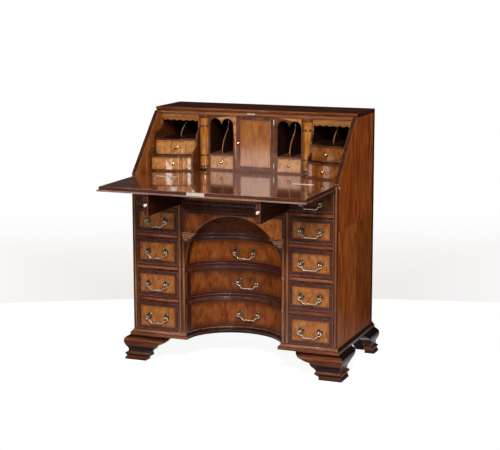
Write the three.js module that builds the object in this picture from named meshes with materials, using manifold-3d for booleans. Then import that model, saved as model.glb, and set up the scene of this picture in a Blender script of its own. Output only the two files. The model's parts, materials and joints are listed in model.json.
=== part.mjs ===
// Fall front secretaire with an arched kneehole, a concave stack of drawers in the kneehole,
// and a stepped gallery of pigeonholes behind the fall. Millimetres, +Z up.
// X runs across the front, Y from front to back, and Z = 0 is the floor.
import * as THREE from 'three';
import { mergeVertices } from 'three/addons/utils/BufferGeometryUtils.js';
import Module from 'manifold-3d';

const wasm = await Module();
wasm.setup();

// Overall sizes
const overallHeight = 1070;
const caseWidth = 920;
const caseDepth = 495;
const topDepth = 247;
const slantHeight = 269;
const caseFloor = 106;

// Boards, and the room between them
const sideThickness = 19;
const topThickness = 16;
const backThickness = 10;
const bedThickness = 20;
const bottomThickness = 28.5;
const partitionThickness = 20;
const railHeight = 31;
const railDepth = 20;
const dustBoardThickness = 10;
const topRailHeight = 12;
const jointGap = 0.3;
const runningGap = 0.5;
const housing = 3;
const cutOverrun = 20;


// Kneehole arch and the niche behind it
const archRadius = 218.5;
const archCrownDrop = 12;
const jambWidth = 11.5;
const archPanelThickness = 18;
const impostReach = 34;
const impostProjection = 7;
const nicheDepth = 197;
const nicheWall = 24;
const nicheCrownRoom = 1.5;
const nicheDrawerMargin = 4;
const nicheFrontThickness = 20;

// Fall front with its rebated lip and its hinges
const slopeFootRise = 9;
const fallRebateDepth = 14;
const fallLipThickness = 6;
const fallLipOverlap = 8;
const fallEndMargin = 1;
const fallSideGap = 0.6;
const hingeInset = 136;
const hingeLeafLength = 90;
const hingeLeafWidth = 20;
const brassPlateThickness = 1.5;
const hingeBarrelRadius = 2.4;
const hingePinRadius = 1.2;
const hingePinRoom = 0.3;
const slopeStudRadius = 6.5;
const slopeStudReach = 1.5;

// Lopers
const loperSetback = 26;
const loperHoused = 130;
const loperGuideThickness = 5;

// Drawers
const drawerFrontThickness = 18;
const drawerSideThickness = 8;
const drawerBottomThickness = 6;
const drawerBackRoom = 15;
const drawerTopRoom = 12;
const cockbeadWidth = 3;
const cockbeadProjection = 2.5;

// Bail handles and knobs
const postSpacing = 80;
const rosetteRadius = 12;
const rosetteThickness = 2.2;
const postRadius = 3.2;
const postHeadRadius = 5.2;
const postReach = 16;
const fixingDepth = 1;
const bailRadius = 2.5;
const bailDrop = 26;
const knobRadius = 5;
const knobReach = 11;
const loperKnobRadius = 7;
const loperKnobReach = 14;

// Base moulding and ogee bracket feet
const mouldingHeight = 24;
const mouldingProjection = 13;
const mouldingTopProjection = 2;
const footProjection = 32;
const footWaistProjection = 20;
const footNeckProjection = 25;
const footWall = 12;
const footPadHeight = 5;
const footNeckHeight = 15;
const footFilletHeight = 27;
const footWaistHeight = 45;
const footBulgeHeight = 84;
const footFrontLength = 175;
const footSideLength = 164;
const footBraceThickness = 18;
const footBraceLength = 136;
const footPadLength = 68;

// Gallery behind the fall
const gallerySetback = 10;
const galleryBoard = 6;
const galleryTopRoom = 7;
const galleryRailSetback = 4;
const doorHalfWidth = 86;
const doorThickness = 14;
const doorFrameWidth = 15;
const doorPanelRecess = 2.5;
const pigeonholeWidth = 108;
const pigeonholeFloorHeight = 71;
const columnBayWidth = 50;
const columnRadius = 22;
const columnNeckRadius = 19;
const columnCollar = 3;
const columnBaseHeight = 14;
const columnLowerCollarHeight = 58;
const columnUpperCollarDrop = 49;
const columnCapitalHeight = 12;
const lowerStepHeight = 67;
const upperStepHeight = 69;
const stepShelf = 5;
const lowerStepAdvance = 118;
const upperStepAdvance = 72;
const stepSweep = 44;
const linerReach = 20;
const valanceDrop = 30;
const valanceThickness = 6;
const scallopDepth = 5;
const scallopCount = 6;
const archPlateDrop = 14;
const dividerThickness = 4;
const smallDrawerWall = 5;
const smallDrawerFront = 12;
const smallDrawerBackRoom = 36;
const smallGap = 0.5;

// Facets
const knobSides = 8;
const bailSides = 6;
const bailSteps = 15;
const nicheSteps = 16;
const domeSteps = 6;
const archSteps = 20;
const curveSteps = 5;
const columnSides = 20;
const barrelSides = 10;

// The drawer rows' parts of the room that their rails leave, from the bottom up
const rowShares = [0.233, 0.2135, 0.2115, 0.196, 0.146];

// Outlines drawn as shares of the sizes that they follow
const bracketShares = [
  [1, 1], [0.9, 0.82], [0.74, 0.7], [0.62, 0.64], [0.6, 0.5], [0.48, 0.34], [0.5, 0.2], [0.39, 0.1],
  [0.39, 0],
];
const bailShares = [
  [1, 0], [1.06, 0], [1.11, -0.2], [1.02, -0.44], [0.86, -0.53], [0.73, -0.62], [0.66, -0.8], [0.57, -0.96],
  [0.4, -1], [0, -0.96],
];
const serpentineShares = [
  [0, 0], [0.1, 0.02], [0.25, 0.2], [0.4, 0.3], [0.55, 0.34], [0.68, 0.5], [0.82, 0.92], [1, 1],
];
const stepOgeeShares = [[0, 0], [0.06, 0.3], [0.4, 0.5], [0.82, 0.68], [1, 1]];
const bedKnuckleShares = [[0, 0.3], [0.7, 1]];
const fallKnuckleShares = [[0.31, 0.69]];
const dividerShares = [[0.06, 0], [0, 0.12], [0.1, 0.38], [0.3, 0.62], [0.34, 0.85], [0.26, 1]];

const finishes = {
  carcass: new THREE.MeshStandardMaterial({ color: '#6b3414', roughness: 0.35, metalness: 0 }),
  drawerFront: new THREE.MeshStandardMaterial({ color: '#a8662b', roughness: 0.32, metalness: 0 }),
  dark: new THREE.MeshStandardMaterial({ color: '#3d1c10', roughness: 0.4, metalness: 0 }),
  writing: new THREE.MeshStandardMaterial({ color: '#7c3f1b', roughness: 0.15, metalness: 0 }),
  brass: new THREE.MeshStandardMaterial({ color: '#8d7a4a', roughness: 0.35, metalness: 1 }),
};

// Places worked out from the sizes
const caseHalf = caseWidth / 2;
const innerHalf = caseHalf - sideThickness;
const kneeholeHalf = archRadius + jambWidth;
const columnInner = kneeholeHalf + partitionThickness;
const caseBack = caseDepth - backThickness;
const insideBack = caseBack - jointGap;
const drawerBack = caseBack - drawerBackRoom;
const writingHeight = overallHeight - slantHeight;
const topUnderside = overallHeight - topThickness;
const bedUnderside = writingHeight - bedThickness;
const railUnderside = bedUnderside - topRailHeight;
const topFront = caseDepth - topDepth;

const caseBed = caseFloor + bottomThickness;
const rowRoom = railUnderside - caseBed - railHeight * (rowShares.length - 1);
const rows = rowShares.map((share, index) => {
  const below = rowShares.slice(0, index).reduce((sum, lower) => sum + lower, 0);
  const floor = caseBed + rowRoom * below + railHeight * index;
  return { floor, ceiling: floor + rowRoom * share };
});
const topRow = rows.at(-1);
const loperFloor = topRow.floor - housing * 2;
const archCrown = rows.at(-2).ceiling - archCrownDrop;
const archSpringing = archCrown - archRadius;
const hingeOffset = innerHalf - hingeInset;
const galleryFront = topFront + gallerySetback;
const lowerStepFront = galleryFront - lowerStepAdvance;
const upperStepFront = galleryFront - upperStepAdvance;

// The slope that the fall closes on, and the hinge line behind it
const slopeFoot = writingHeight + slopeFootRise;
const slopeRise = overallHeight - slopeFoot;
const slopeLength = Math.hypot(topFront, slopeRise);
const along = { y: topFront / slopeLength, z: slopeRise / slopeLength };
const outward = { y: -along.z, z: along.y };
const seatDepth = fallRebateDepth - jointGap;
const hingeY = (seatDepth - slopeFootRise * outward.z) / along.z;
const slopeEnd = (topFront - hingeY) * along.y + (overallHeight - writingHeight) * along.z;
const fallLength = slopeEnd - fallLipOverlap - fallEndMargin;
const fallEdge = hingeY - fallLength - fallLipOverlap;

// A point of the closed fall: distance up the slope from the hinge, and out from its inner face
function onSlope(distance, out) {
  return [
    hingeY + distance * along.y + out * outward.y,
    writingHeight + distance * along.z + out * outward.z,
  ];
}

// Geometry to solid and back
function toSolid(geometry) {
  geometry.deleteAttribute('normal');
  geometry.deleteAttribute('uv');
  const merged = mergeVertices(geometry);
  return new wasm.Manifold(new wasm.Mesh({
    numProp: 3,
    vertProperties: new Float32Array(merged.attributes.position.array),
    triVerts: new Uint32Array(merged.index.array),
  }));
}

function toGeometry(solid) {
  const mesh = solid.getMesh();
  const geometry = new THREE.BufferGeometry();
  geometry.setAttribute('position', new THREE.BufferAttribute(mesh.vertProperties, 3));
  geometry.setIndex(new THREE.BufferAttribute(mesh.triVerts, 1));
  geometry.computeVertexNormals();
  return geometry;
}

function join(...solids) {
  return solids.flat().reduce((whole, solid) => whole.add(solid));
}

function cut(solid, ...tools) {
  return tools.flat().reduce((rest, tool) => rest.subtract(tool), solid);
}

// Solids
function box(x, y, z) {
  const geometry = new THREE.BoxGeometry(x[1] - x[0], y[1] - y[0], z[1] - z[0]);
  geometry.translate((x[0] + x[1]) / 2, (y[0] + y[1]) / 2, (z[0] + z[1]) / 2);
  return toSolid(geometry);
}

function extrude(shape, depth) {
  const outline = shape instanceof THREE.Shape ? shape
    : new THREE.Shape(shape.map(([u, v]) => new THREE.Vector2(u, v)));
  return new THREE.ExtrudeGeometry(outline, { depth, bevelEnabled: false, curveSegments: curveSteps });
}

// A [y, z] outline drawn out along X
function alongX(shape, x) {
  const turn = new THREE.Matrix4().makeBasis(
    new THREE.Vector3(0, 1, 0), new THREE.Vector3(0, 0, 1), new THREE.Vector3(1, 0, 0));
  return toSolid(extrude(shape, x[1] - x[0]).applyMatrix4(turn).translate(x[0], 0, 0));
}

// An [x, z] outline drawn out along Y
function alongY(shape, y) {
  return toSolid(extrude(shape, y[1] - y[0]).rotateX(Math.PI / 2).translate(0, y[1], 0));
}

// An [x, y] outline drawn up along Z
function alongZ(shape, z) {
  return toSolid(extrude(shape, z[1] - z[0]).translate(0, 0, z[0]));
}

// A solid through level outlines of equal count, counter-clockwise, from the lowest up
function loft(levels) {
  const count = levels[0].outline.length;
  const positions = levels.flatMap(({ z, outline }) => outline.flatMap(([x, y]) => [x, y, z]));
  const index = [];
  for (let level = 0; level < levels.length - 1; level += 1) {
    for (let point = 0; point < count; point += 1) {
      const a = level * count + point;
      const b = level * count + (point + 1) % count;
      index.push(a, b, b + count, a, b + count, a + count);
    }
  }
  const last = (levels.length - 1) * count;
  const capOf = ({ outline }) => THREE.ShapeUtils.triangulateShape(
    outline.map(([x, y]) => new THREE.Vector2(x, y)), []);
  capOf(levels[0]).forEach(([a, b, c]) => index.push(a, c, b));
  capOf(levels.at(-1)).forEach(([a, b, c]) => index.push(last + a, last + b, last + c));
  const geometry = new THREE.BufferGeometry();
  geometry.setAttribute('position', new THREE.Float32BufferAttribute(positions, 3));
  geometry.setIndex(index);
  return toSolid(geometry);
}

// A turned solid: [radius, distance] points from the start of the axis to its end, towards the front
function turnedForward(profile, sides, [x, y, z], lean = 0) {
  const points = profile.map(([radius, reach]) => new THREE.Vector2(radius, reach));
  return toSolid(new THREE.LatheGeometry(points, sides).rotateX(Math.PI + lean).translate(x, y, z));
}

function turnedUpright(profile, sides, [x, y, z]) {
  const points = profile.map(([radius, rise]) => new THREE.Vector2(radius, rise));
  return toSolid(new THREE.LatheGeometry(points, sides).rotateX(Math.PI / 2).translate(x, y, z));
}

function barrel(radius, x, y, z) {
  const geometry = new THREE.CylinderGeometry(radius, radius, x[1] - x[0], barrelSides);
  return toSolid(geometry.rotateZ(Math.PI / 2).translate((x[0] + x[1]) / 2, y, z));
}

function mirrored(solid) {
  return solid.mirror([1, 0, 0]);
}

function onSide(side, solid) {
  return side < 0 ? mirrored(solid) : solid;
}

function smooth(points, steps) {
  const curve = new THREE.SplineCurve(points.map(([u, v]) => new THREE.Vector2(u, v)));
  return curve.getPoints(steps).map(({ x, y }) => [x, y]);
}

// The model
const secretaire = new THREE.Group();

function piece(name, solid, finish) {
  const mesh = new THREE.Mesh(toGeometry(solid), finish);
  mesh.name = name;
  secretaire.add(mesh);
}

// Niche: an apse whose half width follows the arch and whose depth dies away to its crown
function nicheAt(z) {
  const above = Math.max(0, z - archSpringing);
  const climb = (z - caseBed) / (archCrown - caseBed);
  return {
    half: Math.sqrt(archRadius ** 2 - above ** 2),
    depth: nicheDepth * Math.sqrt(1 - Math.max(0, climb) ** 2),
  };
}

// The niche's plan curve from right to left, drawn in by an inset
function nicheCurve(z, inset, half = Infinity) {
  const { half: full, depth } = nicheAt(z);
  const limit = Math.min(half, full - inset);
  const reach = Math.asin(limit / (full - inset));
  const points = [];
  for (let step = 0; step <= nicheSteps; step += 1) {
    const angle = reach * (1 - (2 * step) / nicheSteps);
    points.push([(full - inset) * Math.sin(angle), (depth - inset) * Math.cos(angle)]);
  }
  return points;
}

function nicheVoid() {
  const start = caseFloor;
  const end = archCrown - nicheCrownRoom;
  const heights = [start, ...rows.slice(0, 3).flatMap(({ floor, ceiling }) => nicheLevels(floor, ceiling))];
  const from = heights.at(-1);
  for (let step = 1; step <= domeSteps; step += 1) {
    heights.push(from + (end - from) * Math.sin((step / domeSteps) * (Math.PI / 2)));
  }
  return loft(heights.map((z) => ({
    z,
    outline: [...nicheCurve(z, 0), [-nicheAt(z).half, -cutOverrun], [nicheAt(z).half, -cutOverrun]],
  })));
}

// Case
function sidePanel(side) {
  const outline = [
    [0, caseFloor],
    [caseDepth, caseFloor],
    [caseDepth, topUnderside - jointGap],
    [topFront - (topThickness + jointGap) * (along.y / along.z), topUnderside - jointGap],
    [0, slopeFoot],
  ];
  const panel = alongX(outline, [innerHalf, caseHalf]);
  const studY = slopeStudRadius * 2;
  const stud = barrel(slopeStudRadius, [caseHalf - fixingDepth, caseHalf + slopeStudReach], studY,
    writingHeight - slopeFootRise);
  return onSide(side, join(panel, stud));
}

function topBoard() {
  const nose = onSlope(fallLength + fallEndMargin, seatDepth);
  const undercut = (topUnderside - writingHeight - (fallLength + fallEndMargin) * along.z) / outward.z;
  const throat = onSlope(fallLength + fallEndMargin, undercut);
  return alongX([
    [topFront, overallHeight], nose, throat, [caseDepth, topUnderside], [caseDepth, overallHeight],
  ], [-caseHalf, caseHalf]);
}

function writingBed() {
  const outline = [
    [0, railUnderside],
    [railDepth, railUnderside],
    [railDepth, bedUnderside],
    [insideBack, bedUnderside],
    [insideBack, writingHeight],
    [hingeY + jointGap, writingHeight],
    [hingeY + jointGap, bedUnderside - jointGap],
    [0, bedUnderside - jointGap],
  ];
  const board = alongX(outline, [-innerHalf + jointGap, innerHalf - jointGap]);
  const channels = [-1, 1].map((side) => onSide(side, box(
    [kneeholeHalf - jointGap, columnInner + jointGap],
    [-cutOverrun, railDepth + cutOverrun],
    [railUnderside - cutOverrun, bedUnderside])));
  return cut(board, channels, hingeRecesses(1));
}

function bottomBoard() {
  const outline = [
    [-innerHalf + jointGap, 0],
    ...nicheCurve(caseBed, 0).reverse(),
    [innerHalf - jointGap, 0],
    [innerHalf - jointGap, insideBack],
    [-innerHalf + jointGap, insideBack],
  ];
  return alongZ(outline, [caseFloor, caseBed]);
}

// A drawer rail at the front with the dust board behind it, under the drawer that runs on it
function railOutline(floor, ceiling, front, back) {
  return [
    [front, floor],
    [front + railDepth, floor],
    [front + railDepth, ceiling - dustBoardThickness],
    [back, ceiling - dustBoardThickness],
    [back, ceiling],
    [front, ceiling],
  ];
}

// A partition with the rails and dust boards of its drawer column housed in it
function columnFrame(side) {
  const upright = box([kneeholeHalf, columnInner], [0, insideBack], [rows[0].floor + jointGap, loperFloor]);
  const rails = rows.slice(1).map((row, index) => alongX(
    railOutline(rows[index].ceiling, row.floor, 0, insideBack),
    [columnInner - (row === topRow ? 0 : housing), innerHalf - jointGap]));
  return onSide(side, join(upright, rails, loperGuide(columnInner + jointGap)));
}

// A guide board beside a loper, standing on the dust board under the top row
function loperGuide(x) {
  return box([x, x + loperGuideThickness], [drawerFrontThickness + railDepth / 2, drawerBack],
    [topRow.floor - housing, bedUnderside - jointGap]);
}

function centreDeck() {
  const half = kneeholeHalf - jointGap;
  const rail = alongX(railOutline(rows.at(-2).ceiling, topRow.floor, 0, insideBack), [-half, half]);
  const guide = loperGuide(half - loperGuideThickness);
  return join(rail, guide, mirrored(guide));
}

function archPanel() {
  const floor = rows[0].floor + jointGap;
  const ceiling = rows.at(-2).ceiling - jointGap;
  const half = kneeholeHalf - jointGap;
  const outline = new THREE.Shape();
  outline.moveTo(-half, floor);
  outline.lineTo(-archRadius, floor);
  outline.lineTo(-archRadius, archSpringing);
  for (let step = 1; step <= archSteps; step += 1) {
    const angle = Math.PI * (1 - step / archSteps);
    outline.lineTo(archRadius * Math.cos(angle), archSpringing + archRadius * Math.sin(angle));
  }
  outline.lineTo(archRadius, floor);
  outline.lineTo(half, floor);
  outline.lineTo(half, ceiling);
  outline.lineTo(-half, ceiling);
  const impost = rows[2].ceiling;
  const steps = [1, 2, 3].map((step) => box(
    [archRadius - impostReach * (step / 2), archRadius + jambWidth * (step / 4)],
    [-impostProjection * (step / 3), fixingDepth],
    [impost + railHeight * ((step - 1) / 3), impost + railHeight * (step / 3)]));
  const outside = alongY(outline, [0, archPanelThickness]);
  const opening = archOpening(impostProjection + cutOverrun);
  return join(outside, [-1, 1].map((side) => onSide(side, cut(join(steps), opening))));
}

function archOpening(reach) {
  const outline = [[-archRadius, 0], [archRadius, 0]];
  for (let step = 0; step <= archSteps; step += 1) {
    const angle = Math.PI * (step / archSteps);
    outline.push([archRadius * Math.cos(angle), archSpringing + archRadius * Math.sin(angle)]);
  }
  return alongY(outline, [-reach, archPanelThickness]);
}

// The niche's fixed rails, cheeks and dome, left standing round the drawer passages
function nicheFrame() {
  const half = kneeholeHalf - jointGap;
  const front = archPanelThickness + jointGap;
  const floor = rows[0].floor + jointGap;
  const ceiling = rows.at(-2).ceiling - jointGap;
  const block = box([-half, half], [front, nicheDepth + nicheWall], [floor, ceiling]);
  const dustBoards = [1, 2].map((index) => box([-half, half], [nicheDepth, insideBack],
    [rows[index].floor - dustBoardThickness, rows[index].floor]));
  const passages = rows.slice(0, 3).map(({ floor: low, ceiling: high }) => alongY(
    nicheDrawerOutline(low, high, runningGap), [-cutOverrun, nicheDepth + nicheWall + cutOverrun]));
  return join(cut(block, nicheVoid(), passages), dustBoards);
}

// Heights at which a kneehole drawer's ends bend with the arch
function nicheLevels(low, high) {
  const steps = high > archSpringing ? 3 : 1;
  return Array.from({ length: steps + 1 }, (unused, step) => low + ((high - low) * step) / steps);
}

function nicheDrawerEnd(z) {
  return nicheAt(z).half - nicheDrawerMargin;
}

// A kneehole drawer from the front, with its ends following the arch
function nicheDrawerOutline(low, high, room) {
  const right = nicheLevels(low, high).map((z) => [nicheDrawerEnd(z) + room, z]);
  return [...right, ...right.map(([x, z]) => [-x, z]).reverse()];
}

// Hardware that stands on a drawer front at a height, with the front face at y
function handlePost(x, y, z, lean = 0) {
  const head = postReach - postHeadRadius;
  return turnedForward([
    [0, -fixingDepth],
    [rosetteRadius, -fixingDepth],
    [rosetteRadius, rosetteThickness / 2],
    [rosetteRadius / 2, rosetteThickness],
    [postRadius, rosetteThickness * 1.5],
    [postRadius, head],
    [postHeadRadius, postReach - postHeadRadius / 2],
    [postHeadRadius, postReach + postHeadRadius / 2],
    [postRadius, postReach + postHeadRadius],
    [0, postReach + postHeadRadius],
  ], knobSides, [x, y, z], lean);
}

function knob(radius, reach, x, y, z) {
  return turnedForward([
    [0, -fixingDepth],
    [radius * 0.8, -fixingDepth],
    [radius * 0.8, reach * 0.1],
    [radius * 0.45, reach * 0.3],
    [radius, reach * 0.65],
    [radius * 0.8, reach * 0.92],
    [0, reach],
  ], knobSides, [x, y, z]);
}

function bail(x, y, z) {
  const end = postSpacing / 2 + postHeadRadius + runningGap;
  const right = bailShares.map(([across, drop]) => new THREE.Vector3(end * across, 0, bailDrop * drop));
  const left = right.slice(0, -1).map((point) => new THREE.Vector3(-point.x, 0, point.z));
  const path = new THREE.CatmullRomCurve3([...right, ...left.reverse()]);
  const section = new THREE.Shape(Array.from({ length: bailSides }, (unused, corner) => new THREE.Vector2(
    bailRadius * Math.cos((2 * Math.PI * corner) / bailSides),
    bailRadius * Math.sin((2 * Math.PI * corner) / bailSides))));
  const tube = new THREE.ExtrudeGeometry(section, { steps: bailSteps, extrudePath: path });
  return toSolid(tube.translate(x, y, z));
}

// Drawers
function openBox(x, y, floor, ceiling, wall, base) {
  return cut(box(x, y, [floor, ceiling]), box(
    [x[0] + wall, x[1] - wall], [y[0] + wall, y[1] - wall], [floor + base, ceiling + cutOverrun]));
}

function cockbead(x, z) {
  const ring = box(x, [-cockbeadProjection, fixingDepth], z);
  return cut(ring, box([x[0] + cockbeadWidth, x[1] - cockbeadWidth], [-cutOverrun, fixingDepth * 2],
    [z[0] + cockbeadWidth, z[1] - cockbeadWidth]));
}

function flatDrawer(x, row, { inset = [0, 0], posts = true }) {
  const z = [row.floor + runningGap, row.ceiling - runningGap];
  const centre = (x[0] + x[1]) / 2;
  const front = box(x, [0, drawerFrontThickness], z);
  const body = openBox([x[0] + inset[0], x[1] - inset[1]], [fixingDepth, drawerBack], z[0],
    z[1] - drawerTopRoom, drawerSideThickness, drawerBottomThickness);
  const drawer = join(front, body, cockbead(x, z));
  if (!posts) return drawer;
  const height = handleHeight(row);
  return join(drawer, [-1, 1].map((side) => handlePost(centre + (side * postSpacing) / 2, 0, height)));
}

function handleHeight(row) {
  return (row.floor + row.ceiling) / 2;
}

// Where a concave front stands at a distance from the centre, halfway up its row, and how it leans
function nicheFrontAt(index, x) {
  const surface = (z) => {
    const { half, depth } = nicheAt(z);
    return depth * Math.sqrt(1 - (x / half) ** 2);
  };
  const { floor, ceiling } = rows[index];
  return {
    y: (surface(floor) + surface(ceiling)) / 2,
    lean: Math.atan((surface(floor) - surface(ceiling)) / (ceiling - floor)),
  };
}

function nicheDrawer(index) {
  const row = rows[index];
  const floor = row.floor + runningGap;
  const ceiling = row.ceiling - runningGap;
  const half = nicheDrawerEnd(ceiling);
  const plan = (z, inset, reach, back) => [
    ...nicheCurve(z, inset, reach).reverse(), [reach, back], [-reach, back]];
  const between = (low, high, inset, reach, back) => loft(
    [low, high].map((z) => ({ z, outline: plan(z, inset, reach, back) })));
  const shell = loft(nicheLevels(floor, ceiling).map((z) => ({
    z, outline: plan(z, cockbeadProjection, nicheDrawerEnd(z), drawerBack),
  })));
  const shoulder = nicheDepth * Math.sqrt(1 - (half / archRadius) ** 2) + nicheFrontThickness;
  const besideBox = box([half, archRadius], [shoulder, drawerBack + cutOverrun],
    [floor - cutOverrun, ceiling + cutOverrun]);
  const cavity = between(floor + drawerBottomThickness, ceiling + cutOverrun, -nicheFrontThickness,
    half - drawerSideThickness, drawerBack - drawerSideThickness);
  const headroom = between(ceiling - drawerTopRoom, ceiling + cutOverrun, -nicheFrontThickness,
    half + cutOverrun, drawerBack + cutOverrun);
  const field = loft(nicheLevels(floor, ceiling).map((z) => ({
    z,
    outline: [...nicheCurve(z, 0), [-nicheAt(z).half, -cutOverrun], [nicheAt(z).half, -cutOverrun]],
  }))).intersect(alongY(nicheDrawerOutline(floor + cockbeadWidth, ceiling - cockbeadWidth, -cockbeadWidth),
    [-cutOverrun, nicheDepth]));
  const posts = [-1, 1].map((side) => {
    const { y, lean } = nicheFrontAt(index, postSpacing / 2);
    return handlePost((side * postSpacing) / 2, y, handleHeight(row), lean);
  });
  return join(cut(shell, cavity, headroom, besideBox, mirrored(besideBox), field), posts);
}

function nicheBail(index) {
  const { y, lean } = nicheFrontAt(index, postSpacing / 2);
  const height = handleHeight(rows[index]);
  return bail(0, y - postReach * Math.cos(lean), height - postReach * Math.sin(lean));
}

// Fall front, lying open
function fallFront() {
  const half = innerHalf - fallSideGap;
  const front = hingeY - fallLength;
  const rebate = writingHeight - fallRebateDepth;
  const panel = box([-half, half], [front, hingeY - jointGap], [bedUnderside, writingHeight]);
  const round = (edge, direction) => {
    const points = [];
    for (let step = 0; step <= curveSteps; step += 1) {
      const angle = (step / curveSteps) * (Math.PI / 2);
      points.push([
        edge - direction * fallLipThickness * (1 - Math.cos(angle)),
        rebate - fallLipThickness * Math.sin(angle),
      ]);
    }
    return points;
  };
  const lengthways = alongX([...round(fallEdge, -1), [-jointGap, bedUnderside], [-jointGap, rebate]],
    [-half - fallLipOverlap, half + fallLipOverlap]);
  const ends = [...round(half + fallLipOverlap, 1), ...round(-half - fallLipOverlap, -1).reverse()];
  const crossways = alongY(ends, [fallEdge, 0]);
  return cut(join(panel, lengthways.intersect(crossways)), hingeRecesses(-1));
}

// Recesses for the hinge leaves and barrels, on the bed at 1 and on the fall at -1
function hingeRecesses(direction) {
  return [-1, 1].map((side) => {
    const x = [hingeOffset - hingeLeafLength / 2 - jointGap, hingeOffset + hingeLeafLength / 2 + jointGap];
    const depth = brassPlateThickness + jointGap;
    const leafEnd = hingeY + direction * (hingeLeafWidth + jointGap);
    const room = hingeBarrelRadius + jointGap;
    const leaf = box(x, [Math.min(hingeY, leafEnd), Math.max(hingeY, leafEnd)],
      [writingHeight - depth, writingHeight + cutOverrun]);
    const trough = box(x, [hingeY - room, hingeY + room],
      [writingHeight - room, writingHeight + cutOverrun]);
    return onSide(side, join(leaf, trough));
  });
}

// One leaf of a fall hinge with its knuckles between shares of its length; the fixed leaf holds the pin
function hingeLeaf(side, direction, knuckleShares, holdsPin) {
  const start = hingeOffset - hingeLeafLength / 2;
  const end = start + hingeLeafLength;
  const under = writingHeight - brassPlateThickness;
  const span = (from, to) => [from, to].map((reach) => hingeY + direction * reach).sort((a, b) => a - b);
  const leaf = box([start, end], span(hingeBarrelRadius + jointGap, hingeLeafWidth), [under, writingHeight]);
  const knuckles = knuckleShares.map(([from, to]) => {
    const x = [start + hingeLeafLength * from, start + hingeLeafLength * to];
    const tongue = box(x, span(0, hingeBarrelRadius + fixingDepth), [under, writingHeight]);
    return join(barrel(hingeBarrelRadius, x, hingeY, writingHeight), tongue);
  });
  const plate = join(leaf, knuckles);
  const pin = (radius, margin) => barrel(radius, [start + margin, end - margin], hingeY, writingHeight);
  return onSide(side, holdsPin ? join(plate, pin(hingePinRadius, fixingDepth))
    : cut(plate, pin(hingePinRadius + hingePinRoom, -cutOverrun)));
}

// Lopers, drawn out
function loper(side) {
  const nose = fallEdge + loperSetback;
  const top = bedUnderside - jointGap;
  const bottom = loperFloor + jointGap;
  const outline = new THREE.Shape();
  outline.moveTo(nose, top);
  outline.lineTo(nose, bottom);
  outline.lineTo(loperHoused, bottom);
  outline.lineTo(loperHoused, top);
  const inset = runningGap + jointGap;
  const bar = alongX(outline, [kneeholeHalf + inset, columnInner - inset]);
  const centre = kneeholeHalf + partitionThickness / 2;
  return onSide(side, join(bar, knob(loperKnobRadius, loperKnobReach, centre, nose, (top + bottom) / 2)));
}

// Base moulding, one length mitred round the case and drawn into the niche
function mouldingOutline(projection) {
  const outside = caseHalf + projection;
  const inside = caseHalf + jointGap;
  const height = caseFloor + mouldingHeight;
  const curve = (inset) => {
    const { half, depth } = nicheAt(height);
    const points = [[-half + inset, -inset]];
    for (let step = 0; step <= nicheSteps; step += 1) {
      const angle = Math.PI * (step / nicheSteps);
      points.push([-(half - inset) * Math.cos(angle), (depth - inset) * Math.sin(angle)]);
    }
    points.push([half - inset, -inset]);
    return points;
  };
  return [
    [-outside, caseDepth],
    [-outside, -projection],
    ...curve(projection),
    [outside, -projection],
    [outside, caseDepth],
    [inside, caseDepth],
    [inside, -jointGap],
    ...curve(jointGap).reverse(),
    [-inside, -jointGap],
    [-inside, caseDepth],
  ];
}

function baseMoulding() {
  const span = mouldingProjection - mouldingTopProjection;
  const profile = [
    [mouldingProjection, 0],
    [mouldingProjection, mouldingHeight * 0.45],
    [mouldingTopProjection + span * 0.65, mouldingHeight * 0.58],
    [mouldingTopProjection + span * 0.35, mouldingHeight * 0.78],
    [mouldingTopProjection, mouldingHeight],
  ];
  return loft(profile.map(([projection, rise]) => ({
    z: caseFloor + rise,
    outline: mouldingOutline(projection),
  })));
}

// Ogee of a bracket foot: [projection from the case, height], from the floor up
function footProfile() {
  const top = caseFloor - jointGap;
  const swellReach = footProjection - footWaistProjection;
  const shoulderReach = footProjection - mouldingProjection;
  const swell = smooth([
    [footWaistProjection, footWaistHeight],
    [footWaistProjection + swellReach * 0.55, (footWaistHeight + footBulgeHeight) / 2],
    [footProjection, footBulgeHeight],
    [footProjection - shoulderReach * 0.3, footBulgeHeight + (top - footBulgeHeight) * 0.6],
    [mouldingProjection, top],
  ], curveSteps * 2);
  return [
    [footProjection, 0],
    [footProjection, footPadHeight],
    [footNeckProjection, footNeckHeight],
    [footProjection, footFilletHeight],
    [footWaistProjection, footFilletHeight + footPadHeight],
    ...swell,
  ];
}

function bracketCutter(length) {
  const top = caseFloor - jointGap;
  const end = length + cutOverrun;
  const edge = bracketShares.map(([across, up]) => [length * across, top * up]);
  return [[end, top], ...edge, [edge.at(-1)[0], -cutOverrun], [end, -cutOverrun]];
}

function frontFoot(side) {
  const profile = footProfile();
  const top = caseFloor - jointGap;
  const inner = caseHalf - footFrontLength;
  const across = alongX([...profile.map(([out, z]) => [-out, z]), [footSideLength, top], [footSideLength, 0]],
    [inner, caseHalf + footProjection]);
  const backwards = alongY([...profile.map(([out, z]) => [caseHalf + out, z]), [inner, top], [inner, 0]],
    [-footProjection, footSideLength]);
  const hollow = box([inner - cutOverrun, caseHalf - footWall], [footWall, footSideLength + cutOverrun],
    [-cutOverrun, caseFloor]);
  const frontScroll = alongY(bracketCutter(footFrontLength).map(([x, z]) => [caseHalf - x, z]),
    [-footProjection - cutOverrun, footWall + fixingDepth]);
  const sideScroll = alongX(bracketCutter(footSideLength).map(([y, z]) => [y, z]),
    [caseHalf - footWall - fixingDepth, caseHalf + footProjection + cutOverrun]);
  const block = box([caseHalf - footWall * 4, caseHalf - footWall], [footWall, footWall * 4],
    [footFilletHeight, top]);
  return onSide(side, join(cut(across.intersect(backwards), hollow, frontScroll, sideScroll), block));
}

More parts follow.
